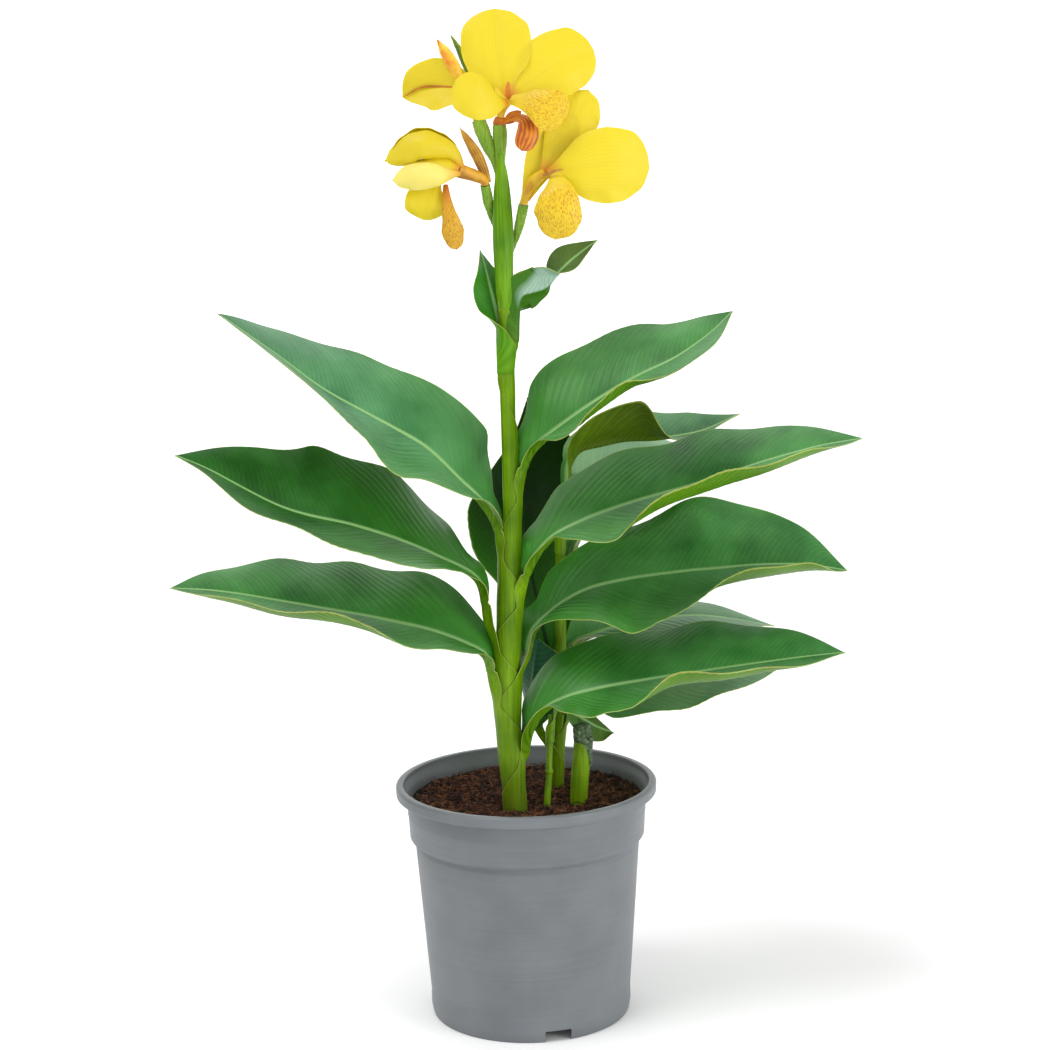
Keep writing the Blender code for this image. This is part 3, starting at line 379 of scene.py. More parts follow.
@dataclass(frozen=True)
class StemSkin(Finish):
    """A smooth herbaceous stem: yellow-green, striped lengthwise, with a light wax."""

    dark: str = "4f7000"
    light: str = "7ba208"

    def paint(self, tree: Tree, skin: bpy.types.Node) -> None:
        """Lengthwise stripes about 1.3 mm apart, and a slow change of tint up the stem."""
        place = add(tree, "TexCoord", give="Object")
        drawn = add(tree, "Mapping", {"Vector": place, "Scale": (760.0, 760.0, 22.0)})
        stripes = add(tree, "TexNoise", {"Vector": drawn, "Scale": 1.0, "Detail": 3.0})
        slow = add(tree, "TexNoise", {"Vector": place, "Scale": 30.0, "Detail": 2.0})
        mix = add(tree, "Math", {0: stripes, 1: slow}, operation="ADD")
        half = add(tree, "Math", {0: mix, 1: 0.5}, operation="MULTIPLY")
        colour = add(tree, "ValToRGB", {"Fac": half}, stops=((0.36, self.dark), (0.64, self.light)))
        bump = add(tree, "Bump", {"Height": stripes, "Distance": 0.00025, "Strength": 0.5})
        feed(tree, skin, {"Base Color": colour, "Normal": bump,
                          "Specular IOR Level": 0.2, "Roughness": 0.42})


@dataclass(frozen=True)
class CutStemFace(Finish):
    """The crushed end of a cut stem: grey-green, fibrous, drying to white."""

    def paint(self, tree: Tree, skin: bpy.types.Node) -> None:
        """Torn fibres about 1.5 mm wide in three dull tints."""
        place = add(tree, "TexCoord", give="Object")
        torn = add(tree, "TexNoise", {"Vector": place, "Scale": 420.0, "Detail": 5.0, "Roughness": 0.7})
        colour = add(tree, "ValToRGB", {"Fac": torn},
                     stops=((0.36, "2a3a24"), (0.52, "4c6440"), (0.7, "8a9a7c")))
        bump = add(tree, "Bump", {"Height": torn, "Distance": 0.0012, "Strength": 0.8})
        feed(tree, skin, {"Base Color": colour, "Normal": bump, "Roughness": 0.7})


@dataclass(frozen=True)
class PetalTissue(Finish):
    """Thin floppy petal: saturated yellow, lit through, with fine veins fanning to the tip."""

    body: str = "dcc411"
    vein: str = "d3b50f"
    throat: str = "d9841a"
    throat_to: float = 0.16

    def paint(self, tree: Tree, skin: bpy.types.Node) -> None:
        """Veins that fan with the petal, about 1.5 mm apart, and an orange foot."""
        share, side = (add(tree, "Attribute", give="Fac", attribute_name=name)
                       for name in ("share", "side"))
        place = add(tree, "TexCoord", give="Object")
        wobble = add(tree, "TexNoise", {"Vector": place, "Scale": 90.0, "Detail": 3.0})
        fan = add(tree, "Math", {0: side, 1: 62.0}, operation="MULTIPLY")
        bent = add(tree, "Math", {0: wobble, 1: 3.0, 2: fan}, operation="MULTIPLY_ADD")
        wave = add(tree, "Math", {0: bent}, operation="SINE")
        lines = add(tree, "MapRange", {"Value": wave, "From Min": 0.1, "From Max": 1.0})
        mild = add(tree, "Math", {0: lines, 1: 0.45}, operation="MULTIPLY")
        faint = add(tree, "Math", {0: mild, 1: wobble}, operation="MULTIPLY")
        body = add(tree, "MixRGB", {0: faint, 1: linear(self.body), 2: linear(self.vein)})
        foot = add(tree, "MapRange", {"Value": share, "From Min": self.throat_to, "From Max": 0.0})
        colour = add(tree, "MixRGB", {0: foot, 1: body, 2: linear(self.throat)})
        bump = add(tree, "Bump", {"Height": faint, "Distance": 0.00025, "Strength": 0.5})
        feed(tree, skin, {"Base Color": colour, "Normal": bump, "Roughness": 0.55,
                          "Subsurface Weight": 0.2, "Subsurface Radius": (0.8, 0.7, 0.1),
                          "Subsurface Scale": 0.004})


@dataclass(frozen=True)
class SpottedLip(Finish):
    """The flower's lip: yellow, freckled with orange streaks, clear at its throat."""

    ground: str = "dfbf14"
    spot: str = "b96400"
    foot: str = "e2c82c"

    def paint(self, tree: Tree, skin: bpy.types.Node) -> None:
        """Streaks about 1 mm by 2.5 mm, denser to the edge."""
        share = add(tree, "Attribute", give="Fac", attribute_name="share")
        signed = add(tree, "Attribute", give="Fac", attribute_name="side")
        flow = add(tree, "CombineXYZ", {0: signed, 1: share, 2: 0.0})
        drawn = add(tree, "Mapping", {"Vector": flow, "Scale": (27.0, 17.0, 1.0)})
        place = add(tree, "TexCoord", give="Object")
        wobble = add(tree, "TexNoise", {"Vector": place, "Scale": 260.0, "Detail": 3.0}, give="Color")
        bent = add(tree, "MixRGB", {0: 1.0, 1: drawn, 2: wobble}, blend_type="ADD")
        cells = add(tree, "TexVoronoi", {"Vector": bent, "Scale": 1.0, "Randomness": 1.0})
        spots = add(tree, "MapRange", {"Value": cells, "From Min": 0.46, "From Max": 0.26})
        clear = add(tree, "MapRange", {"Value": share, "From Min": 0.16, "From Max": 0.36, "To Max": 0.85})
        shown = add(tree, "Math", {0: spots, 1: clear}, operation="MULTIPLY")
        ground = add(tree, "ValToRGB", {"Fac": share}, stops=((0.0, self.foot), (0.4, self.ground)))
        colour = add(tree, "MixRGB", {0: shown, 1: ground, 2: linear(self.spot)})
        feed(tree, skin, {"Base Color": colour, "Roughness": 0.5})


@dataclass(frozen=True)
class TepalTissue(Finish):
    """Tougher outer flower parts: orange flushed with brown, striped lengthwise."""

    dark: str = "a34a0a"
    light: str = "dd8c1c"

    def paint(self, tree: Tree, skin: bpy.types.Node) -> None:
        """Lengthwise stripes of flush, about 1.2 mm apart."""
        side = add(tree, "Attribute", give="Fac", attribute_name="side")
        place = add(tree, "TexCoord", give="Object")
        flush = add(tree, "TexNoise", {"Vector": place, "Scale": 110.0, "Detail": 4.0})
        fan = add(tree, "Math", {0: side, 1: 16.0}, operation="MULTIPLY")
        wave = add(tree, "Math", {0: fan}, operation="SINE")
        mix = add(tree, "Math", {0: wave, 1: 0.12, 2: flush}, operation="MULTIPLY_ADD")
        colour = add(tree, "ValToRGB", {"Fac": mix}, stops=((0.34, self.dark), (0.66, self.light)))
        bump = add(tree, "Bump", {"Height": mix, "Distance": 0.0003, "Strength": 0.5})
        feed(tree, skin, {"Base Color": colour, "Normal": bump, "Roughness": 0.5,
                          "Subsurface Weight": 0.1, "Subsurface Scale": 0.002})


@dataclass(frozen=True)
class PaperBackdrop(Finish):
    """White background paper: matte, with its faint felt grain."""

    glow: float = 0.0

    def paint(self, tree: Tree, skin: bpy.types.Node) -> None:
        """A grain of about 1 mm, hardly darker than the sheet."""
        place = add(tree, "TexCoord", give="Object")
        felt = add(tree, "TexNoise", {"Vector": place, "Scale": 900.0, "Detail": 2.0})
        colour = add(tree, "ValToRGB", {"Fac": felt}, stops=((0.0, "f4f4f4"), (1.0, "ffffff")))
        feed(tree, skin, {"Base Color": colour, "Roughness": 0.95, "Specular IOR Level": 0.1,
                          "Emission Color": (1.0, 1.0, 1.0, 1.0), "Emission Strength": self.glow})


PP_GREY = MouldedPolypropylene("polypropylene_mid_grey")
PEAT = PeatAndCoir("damp_peat_and_coir")
COIR = CoirFibre("coconut_fibre")
STEM_SKIN = StemSkin("canna_stem_skin")
BRACT_SKIN = StemSkin("canna_bract_skin", dark="447a02", light="76a812")
OVARY_SKIN = StemSkin("canna_ovary_skin", dark="568a18", light="92b444")
CUT_FACE = CutStemFace("cut_stem_end")
MARGIN = LeafMargin("dry_leaf_margin")
PETAL = PetalTissue("canna_petal_yellow")
LIP = SpottedLip("canna_lip_freckled")
LIP_ORANGE = SpottedLip("canna_lip_orange", ground="d6a418", spot="8f4608", foot="c65f0a")
TEPAL = TepalTissue("canna_tepal_orange")
# A paler yellow petal: painted highlight for the left bloom's middle petal, which catches the light.
PAINTED_HIGHLIGHT_PETAL = PetalTissue("canna_petal_pale", body="f3e070", vein="e8cc44", throat="e0a02a", throat_to=0.3)
TUBE_TISSUE = TepalTissue("canna_flower_tube", dark="cf981a", light="e8c42a")
ORANGE_BUD = TepalTissue("canna_bud_orange", dark="e27c1a", light="f6cf36")
GOLD_TEPAL = TepalTissue("canna_tepal_gold", dark="8a5a16", light="c99a2a")
BUD_TISSUE = TepalTissue("canna_bud_green", dark="4f7a1c", light="8fa838")
PAPER = PaperBackdrop("white_background_paper")
LIT_PAPER = PaperBackdrop("white_lit_paper", glow=0.45)


# Shared shapes

def smooth_value(keys: Keys, at: float, column: int = 1) -> float:
    """Reads a value along rising keys by a cubic that never overshoots them.

    Args:
        keys: Rows that start with their place.
        at: The place wanted.
        column: Which column of the rows to read.
    Returns:
        The value there.
    """
    if at <= keys[0][0]:
        return keys[0][column]
    if at >= keys[-1][0]:
        return keys[-1][column]
    i = max(k for k in range(len(keys) - 1) if keys[k][0] <= at)
    rises = [(keys[k + 1][column] - keys[k][column]) / (keys[k + 1][0] - keys[k][0])
             if 0 <= k < len(keys) - 1 else None for k in (i - 1, i, i + 1)]
    slopes = []
    for before, after in zip(rises, rises[1:]):
        if before is None or after is None:
            slopes.append(after if before is None else before)
        else:
            slopes.append(0.0 if before * after <= 0 else 2 * before * after / (before + after))
    span = keys[i + 1][0] - keys[i][0]
    t = (at - keys[i][0]) / span
    return ((2 * t**3 - 3 * t**2 + 1) * keys[i][column] + (t**3 - 2 * t**2 + t) * span * slopes[0]
            + (3 * t**2 - 2 * t**3) * keys[i + 1][column] + (t**3 - t**2) * span * slopes[1])


def eased(value: float, low: float, high: float) -> float:
    """Rises smoothly from 0 at low to 1 at high."""
    share = min(max((value - low) / (high - low), 0.0), 1.0)
    return share * share * (3.0 - 2.0 * share)


class Route:
    """A smooth curve through points in millimetres, read by its length along the curve."""

    SAMPLES = 30

    def __init__(self, points: Iterable[Sequence[float]]) -> None:
        """Lays a centripetal spline through the points.

        Args:
            points: The points; a fourth number in them is left out.
        """
        given = [Vector(point[:3]) for point in points]
        padded = [2 * given[0] - given[1]] + given + [2 * given[-1] - given[-2]]
        self.points: list[Vector] = []
        for i in range(1, len(padded) - 2):
            self.points += self.stretch(*padded[i - 1:i + 3])
        self.points.append(given[-1])
        self.places = [0.0]
        for a, b in zip(self.points, self.points[1:]):
            self.places.append(self.places[-1] + (b - a).length)
        self.knots = self.places[::self.SAMPLES]
        self.length = self.places[-1]

    def stretch(self, p0: Vector, p1: Vector, p2: Vector, p3: Vector) -> list[Vector]:
        """Samples the spline from the second point up to the third.

        Args:
            p0: The point before.
            p1: Where the stretch starts.
            p2: Where it ends.
            p3: The point after.
        Returns:
            The samples, without the last.
        """
        t1 = (p1 - p0).length ** 0.5
        t2 = t1 + (p2 - p1).length ** 0.5
        t3 = t2 + (p3 - p2).length ** 0.5
        made = []
        for k in range(self.SAMPLES):
            t = t1 + (t2 - t1) * k / self.SAMPLES
            a1, a2 = p0.lerp(p1, t / t1), p1.lerp(p2, (t - t1) / (t2 - t1))
            a3 = p2.lerp(p3, (t - t2) / (t3 - t2))
            b1, b2 = a1.lerp(a2, t / t2), a2.lerp(a3, (t - t1) / (t3 - t1))
            made.append(b1.lerp(b2, (t - t1) / (t2 - t1)))
        return made

    def at(self, place: float) -> Vector:
        """The point at a length along the curve."""
        place = min(max(place, 0.0), self.length)
        low, high = 0, len(self.places) - 2
        while low < high:
            middle = (low + high + 1) // 2
            low, high = (middle, high) if self.places[middle] <= place else (low, middle - 1)
        span = self.places[low + 1] - self.places[low]
        return self.points[low].lerp(self.points[low + 1], (place - self.places[low]) / span)

    def direction(self, place: float, reach: float = 1.5) -> Vector:
        """Which way the curve runs there."""
        return (self.at(place + reach) - self.at(place - reach)).normalized()


def piece_from(name: str, bm: bmesh.types.BMesh, finishes: Sequence[Finish], sharp: float = 50.0) -> Piece:
    """Makes a shown object from a finished bmesh.

    Args:
        name: Its name.
        bm: The shape, which is freed.
        finishes: Its finishes, in the order of the faces' material numbers.
        sharp: The angle in degrees from which an edge is sharp.
    Returns:
        The object, at the origin.
    """
    mesh = bpy.data.meshes.new(name)
    bm.to_mesh(mesh)
    bm.free()
    for finish in finishes:
        mesh.materials.append(finish.material())
    mesh.shade_smooth()
    mesh.set_sharp_from_angle(angle=math.radians(sharp))
    made = bpy.data.objects.new(name, mesh)
    bpy.context.scene.collection.objects.link(made)
    return made


def freeze(piece: Piece) -> Piece:
    """Puts the piece's modifiers into its mesh."""
    bpy.context.view_layer.update()
    graph = bpy.context.evaluated_depsgraph_get()
    mesh = bpy.data.meshes.new_from_object(piece.evaluated_get(graph), depsgraph=graph)
    piece.modifiers.clear()
    piece.data = mesh
    return piece


def joined(name: str, pieces: Sequence[Piece]) -> Piece:
    """Joins pieces into the first, which takes the name."""
    with bpy.context.temp_override(active_object=pieces[0], selected_editable_objects=list(pieces)):
        bpy.ops.object.join()
    pieces[0].name = name
    return pieces[0]


def grid(columns: int, rows: int, place: Callable[[int, int], Vector],
         layers: dict[str, Callable[[int, int], float]] | None = None) -> bmesh.types.BMesh:
    """Bends a flat grid into a sheet.

    Args:
        columns: Faces across.
        rows: Faces along.
        place: Where the point of a column and row goes, in millimetres.
        layers: Values to keep on the points for the materials, by name.
    Returns:
        The sheet, with its doubled points merged.
    """
    bm = bmesh.new()
    bmesh.ops.create_grid(bm, x_segments=columns, y_segments=rows, size=0.5)
    kept = {name: bm.verts.layers.float.new(name) for name in layers or {}}
    for vert in bm.verts:
        column, row = round((vert.co.x + 0.5) * columns), round((vert.co.y + 0.5) * rows)
        vert.co = place(column, row) * MM
        for name, layer in kept.items():
            vert[layer] = layers[name](column, row)
    bmesh.ops.remove_doubles(bm, verts=bm.verts, dist=0.01 * MM)
    return bm


def tube(points: Sequence[Sequence[float]], sides: int, step: float,
         lumps: float = 0.0) -> bmesh.types.BMesh:
    """A closed round stalk through (x, y, z, radius) points.

    Args:
        points: The points, in millimetres.
        sides: Faces round it.
        step: Length of a face along it.
        lumps: Height of the swellings on its skin.
    Returns:
        The stalk.
    """
    route = Route(points)
    keys = tuple((knot, point[3]) for knot, point in zip(route.knots, points))
    count = max(6, round(route.length / step))
    places = [route.length * k / count for k in range(count + 1)]
    places = [0.0] + places + [route.length]
    frames = []
    side = Vector((1.0, 0.0, 0.0))
    for k, at in enumerate(places):
        direction = route.direction(at, 1.0)
        side = (side - direction * side.dot(direction)).normalized()
        radius = smooth_value(keys, at) if 0 < k < len(places) - 1 else 0.0
        frames.append((route.at(at), side.copy(), direction.cross(side), radius))

    def place(column: int, row: int) -> Vector:
        """A point on the tube's skin."""
        middle, across, over, radius = frames[row]
        turn = math.tau * column / sides
        outward = across * math.cos(turn) + over * math.sin(turn)
        spot = middle + outward * radius
        if lumps and radius:
            spot += outward * lumps * (noise.noise(spot * 0.9) + 0.6 * noise.noise(spot * 2.1))
        return spot

    bm = grid(sides, len(frames) - 1, place, {
        "share": lambda c, r: places[r] / route.length, "side": lambda c, r: c / sides,
        "edge": lambda c, r: 0.0, "out": lambda c, r: 0.0, "vein": lambda c, r: places[r]})
    bmesh.ops.recalc_face_normals(bm, faces=bm.faces)
    return bm


def edge_waves(swell: float, turn: float) -> tuple[float, float]:
    """How far a blade's left and right edges stand up: alike, but out of step."""
    return swell * math.sin(turn), swell * math.sin(turn * 1.13 + 2.1)


@dataclass
class Station:
    """One cross-section of a thin sheet: its middle, two directions and two curved halves."""

    middle: Vector
    left: Vector
    up: Vector
    halves: tuple[Half, Half]
    waves: tuple[float, float] = (0.0, 0.0)

    def point(self, side: float) -> tuple[Vector, Vector, float]:
        """Reads the section at a share of its half width.

        Args:
            side: The share, below zero to the left.
        Returns:
            The point, the way its upper side faces, and its distance from the rib.
        """
        right = side > 0
        width, angle, turn = self.halves[right]
        share, start, bend = abs(side), math.radians(angle), math.radians(turn)
        end = start + bend * share
        if abs(bend) < 1e-4:
            out, rise = width * share * math.cos(start), width * share * math.sin(start)
        else:
            out = width / bend * (math.sin(end) - math.sin(start))
            rise = width / bend * (math.cos(start) - math.cos(end))
        outward = -self.left if right else self.left
        place = self.middle + outward * out + self.up * (rise + self.waves[right] * share * share)
        return place, self.up * math.cos(end) - outward * math.sin(end), width * share


@dataclass
class ThinSheet:
    """A leaf, bract or petal: a thin sheet through stations, with its own thickness everywhere.

    The rows of its blade follow its side veins, which lean towards the tip.
    """

    name: str
    foot: list[tuple[float, Station]]
    blade: list[Station]
    length: float
    finishes: tuple[Finish, Finish, Finish]
    wall: Callable[[float, float], float]
    relief: Callable[[float, float, float, Vector], float]
    rows: int = 120
    half_columns: int = 14
    spread: float = 1.5
    lean: float = 0.36
    thickest: float = 3.4

    def side(self, column: int) -> float:
        """The share of the half width at a column, below zero to the left."""
        step = (column - self.half_columns) / self.half_columns
        return math.copysign(abs(step) ** self.spread, step)

    def leaned(self, share: float, side: float) -> float:
        """How far along the blade a side vein has come at a share of its half width."""
        fade = (1.0 - math.exp(-share / 0.07)) * (1.0 - share) ** 0.8
        return min(1.0, share + self.lean * abs(side) ** 1.15 * fade)

    def read(self, column: int, row: int) -> tuple[Vector, Vector, float, float]:
        """Reads the sheet at a column and row.

        Args:
            column: Counted from the left edge.
            row: Counted from the foot.
        Returns:
            The point, the way it faces, its distance from the rib and its place along the leaf.
        """
        side = self.side(column)
        if row < len(self.foot):
            share, station = self.foot[row]
            return *station.point(side), share
        share = ((row - len(self.foot)) / self.rows) ** (1.25 if self.lean else 1.0)
        at = self.leaned(share, side) * (len(self.blade) - 1)
        low = min(int(at), len(self.blade) - 2)
        below, above = self.blade[low].point(side), self.blade[low + 1].point(side)
        mix = at - low
        return (below[0].lerp(above[0], mix), below[1].lerp(above[1], mix).normalized(),
                below[2] + (above[2] - below[2]) * mix, share)

    def build(self) -> Piece:
        """Makes the sheet with its thickness.

        Returns:
            The piece: its upper face, underside and margin take the three finishes.
        """
        columns, rows = 2 * self.half_columns, len(self.foot) + self.rows
        known = {(c, r): self.read(c, r) for c in range(columns + 1) for r in range(rows + 1)}

        def place(column: int, row: int) -> Vector:
            """A point of the upper face, with its relief."""
            spot, normal, out, share = known[column, row]
            return spot + normal * self.relief(share, self.side(column), out, spot)

        bm = grid(columns, rows, place, {
            "share": lambda c, r: known[c, r][3],
            "vein": lambda c, r: max(known[c, r][3], 0.0) * self.length,
            "out": lambda c, r: known[c, r][2],
            "side": lambda c, r: self.side(c),
            "edge": lambda c, r: abs(self.side(c)),
            "wall": lambda c, r: min(1.0, self.wall(known[c, r][3], known[c, r][2]) / self.thickest)})
        layer = bm.verts.layers.float["wall"]
        walls = [vert[layer] for vert in bm.verts]
        piece = piece_from(self.name, bm, self.finishes)
        group = piece.vertex_groups.new(name="wall")
        for index, wall in enumerate(walls):
            group.add([index], wall, "REPLACE")
        solid = piece.modifiers.new("wall", "SOLIDIFY")
        solid.thickness = self.thickest * MM
        solid.offset = -1.0
        solid.vertex_group = "wall"
        solid.material_offset = 1
        solid.material_offset_rim = 2
        freeze(piece)
        piece.data.set_sharp_from_angle(angle=math.radians(60))
        return piece


def settle(piece: Piece, slot: Slot, *nodes: str) -> Piece:
    """Lets a finished piece ride on the model and reports it.

    Args:
        piece: The piece.
        slot: The record's slot; not used.
        nodes: The CAD nodes that it stands for.
    Returns:
        The piece.
    """
    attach(piece, "root")
    if nodes:
        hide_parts(*nodes)
    faces, stood_for = len(piece.data.polygons), ", ".join(nodes) or "no node"
    LOG.info("%s: %d faces, stands for %s", piece.name, faces, stood_for)
    return piece


# Pot and soil

@dataclass
class NurseryPot:
    """A 19 cm injection-moulded pot: rolled lip, collar, step, tapered body and foot notches.

    A detail of the profile is rows of how far out and how far up it stands from its place. The foot
    band's rows are the height whose radius it takes, how far out it stands, and its own height.
    """

    height: float = 173.0
    rim_radius: float = 95.0
    rim_inner_radius: float = 89.5
    lip_height: float = 8.0
    lip_rounding: float = 2.2
    collar_top: float = 87.6
    collar_foot: float = 85.4
    step_top: float = 134.0
    step_foot: float = 129.5
    body_top: float = 82.0
    base_radius: float = 72.3
    wall: float = 1.6
    floor_underside: float = 10.0
    boss_radius: float = 12.0
    boss_draft: float = 1.0
    lip_blend: float = 3.0
    inner_lip: Keys = ((-2.4, 1.0), (-0.6, 3.6))
    inner_rounding: float = 1.2
    skirt_inset: float = 0.15
    skirt_rounding: float = 0.9
    under_skirt: Keys = ((0.9, 0.0), (0.15, -0.7))
    bead_height: float = 151.5
    bead: Keys = ((0.0, 0.8), (0.22, 0.0), (0.0, -0.9))
    shoulder: Keys = ((0.35, 2.6), (0.3, 0.4), (-0.2, -0.5))
    hollow: Keys = ((-0.5, 2.2), (-0.9, 0.8), (-0.5, -0.6))
    hollow_end: float = 2.4
    body_heights: tuple[float, ...] = (110.0, 88.0, 66.0, 44.0, 24.0, 13.8)
    foot_band: Keys = ((13.0, 0.4, 12.9), (12.0, 0.4, 6.0))
    foot_inset: float = 0.6
    foot_rounding: float = 0.8
    notch_width: float = 19.5
    notch_height: float = 8.5
    notch_rounding: float = 1.2
    notch_angle: float = -75.0
    notches: int = 3
    steps: int = 176
    sharp: float = 32.0

    def outer(self, height: float) -> float:
        """Outer radius of the wall below the lip."""
        keys = ((0.0, self.base_radius), (self.step_foot, self.body_top), (self.step_top, self.collar_foot),
                (self.height - self.lip_height, self.collar_top))
        for low, high in zip(keys, keys[1:]):
            if height <= high[0]:
                return low[1] + (high[1] - low[1]) * (height - low[0]) / (high[0] - low[0])
        return keys[-1][1]

    def arc(self, centre: tuple[float, float], radius: float, start: float, end: float,
            count: int = 5) -> list[tuple[float, float]]:
        """Points on a rounding of the profile.

        Args:
            centre: Its centre, as radius and height.
            radius: The rounding.
            start: First angle in degrees.
            end: Last angle in degrees.
            count: How many points.
        Returns:
            The points.
        """
        turns = [math.radians(start + (end - start) * k / (count - 1)) for k in range(count)]
        return [(centre[0] + radius * math.cos(a), centre[1] + radius * math.sin(a)) for a in turns]

    def profile(self) -> list[tuple[float, float]]:
        """The half section, from the axis inside up over the lip and down to the axis below."""
        top, foot, r = self.height, self.height - self.lip_height, self.lip_rounding
        floor = self.floor_underside + self.wall
        inside = [(0.0, floor)]
        inside += [(self.outer(h) - self.wall, h)
                   for h in (floor, self.step_foot, self.step_top, foot - self.lip_blend)]
        inside += [(self.rim_inner_radius + out, foot + up) for out, up in self.inner_lip]
        inside += [(self.rim_inner_radius, top - r)]
        rounding = self.inner_rounding
        rim = self.arc((self.rim_inner_radius + rounding, top - rounding), rounding, 180, 90)[1:]
        rim += self.arc((self.rim_radius - r, top - r), r, 90, 0, 6)
        rim += [(self.rim_radius - self.skirt_inset, foot + 1.6)]
        rounding = self.skirt_rounding
        centre = (self.rim_radius - (self.skirt_inset + rounding), foot + rounding)
        rim += self.arc(centre, rounding, 0, -90, 4)
        # The collar carries a shallow stacking bead, and the step is rounded by the mould
        outside = [(self.outer(foot) + out, foot + up) for out, up in self.under_skirt]
        outside += [(self.outer(self.bead_height + up) + out, self.bead_height + up)
                    for out, up in self.bead]
        outside += [(self.outer(self.step_top) + out, self.step_top + up) for out, up in self.shoulder]
        outside += [(self.body_top + out, self.step_foot + up) for out, up in self.hollow]
        outside += [(self.outer(h), h) for h in (self.step_foot - self.hollow_end, *self.body_heights)]
        outside += [(self.outer(at) + out, height) for at, out, height in self.foot_band]
        rounding = self.foot_rounding
        outside += self.arc((self.base_radius - self.foot_inset, rounding), rounding, -10, -90, 4)
        under = [(self.base_radius - self.wall, 0.0),
                 (self.outer(self.floor_underside) - self.wall, self.floor_underside),
                 (self.boss_radius + self.boss_draft, self.floor_underside),
                 (self.boss_radius, 0.0), (0.0, 0.0)]
        return inside + rim + outside + under

    def turned(self) -> bmesh.types.BMesh:
        """Turns the profile round the axis."""
        bm = bmesh.new()
        verts = [bm.verts.new((radius * MM, 0.0, height * MM)) for radius, height in self.profile()]
        edges = [bm.edges.new(pair) for pair in zip(verts, verts[1:])]
        bmesh.ops.spin(bm, geom=verts + edges, cent=(0, 0, 0), axis=(0, 0, 1), angle=math.tau,
                       steps=self.steps, use_merge=True)
        bmesh.ops.remove_doubles(bm, verts=bm.verts, dist=0.01 * MM)
        bmesh.ops.recalc_face_normals(bm, faces=bm.faces)
        return bm

    def notch(self, turn: float) -> Piece:
        """A rounded block that cuts one drainage notch.

        Args:
            turn: Where it stands round the foot, in radians.
        Returns:
            The block.
        """
        bm = bmesh.new()
        bmesh.ops.create_cube(bm, size=1.0)
        bmesh.ops.scale(bm, verts=bm.verts, vec=(self.base_radius * 0.5 * MM, self.notch_width * MM,
                                                 2 * self.notch_height * MM))
        upright = [edge for edge in bm.edges if abs((edge.verts[0].co - edge.verts[1].co).x) > 1e-6
                   and edge.verts[0].co.z > 0]
        bmesh.ops.bevel(bm, geom=upright, offset=self.notch_rounding * MM, segments=3, profile=0.5,
                        affect="EDGES", material=-1)
        bmesh.ops.translate(bm, verts=bm.verts, vec=(self.base_radius * MM, 0, 0))
        bmesh.ops.rotate(bm, verts=bm.verts, cent=(0, 0, 0), matrix=Matrix.Rotation(turn, 3, "Z"))
        return piece_from("notch", bm, ())

    def build(self) -> Piece:
        """Makes the pot and cuts its notches."""
        pot = piece_from("nursery_pot", self.turned(), (PP_GREY,), self.sharp)
        for k in range(self.notches):
            cutter = self.notch(math.radians(self.notch_angle + 360 * k / self.notches))
            cut = pot.modifiers.new("notch", "BOOLEAN")
            cut.operation, cut.object, cut.solver = "DIFFERENCE", cutter, "EXACT"
            freeze(pot)
            bpy.data.objects.remove(cutter, do_unlink=True)
        pot.data.set_sharp_from_angle(angle=math.radians(self.sharp))
        return settle(pot, Slot.POT, "pot")


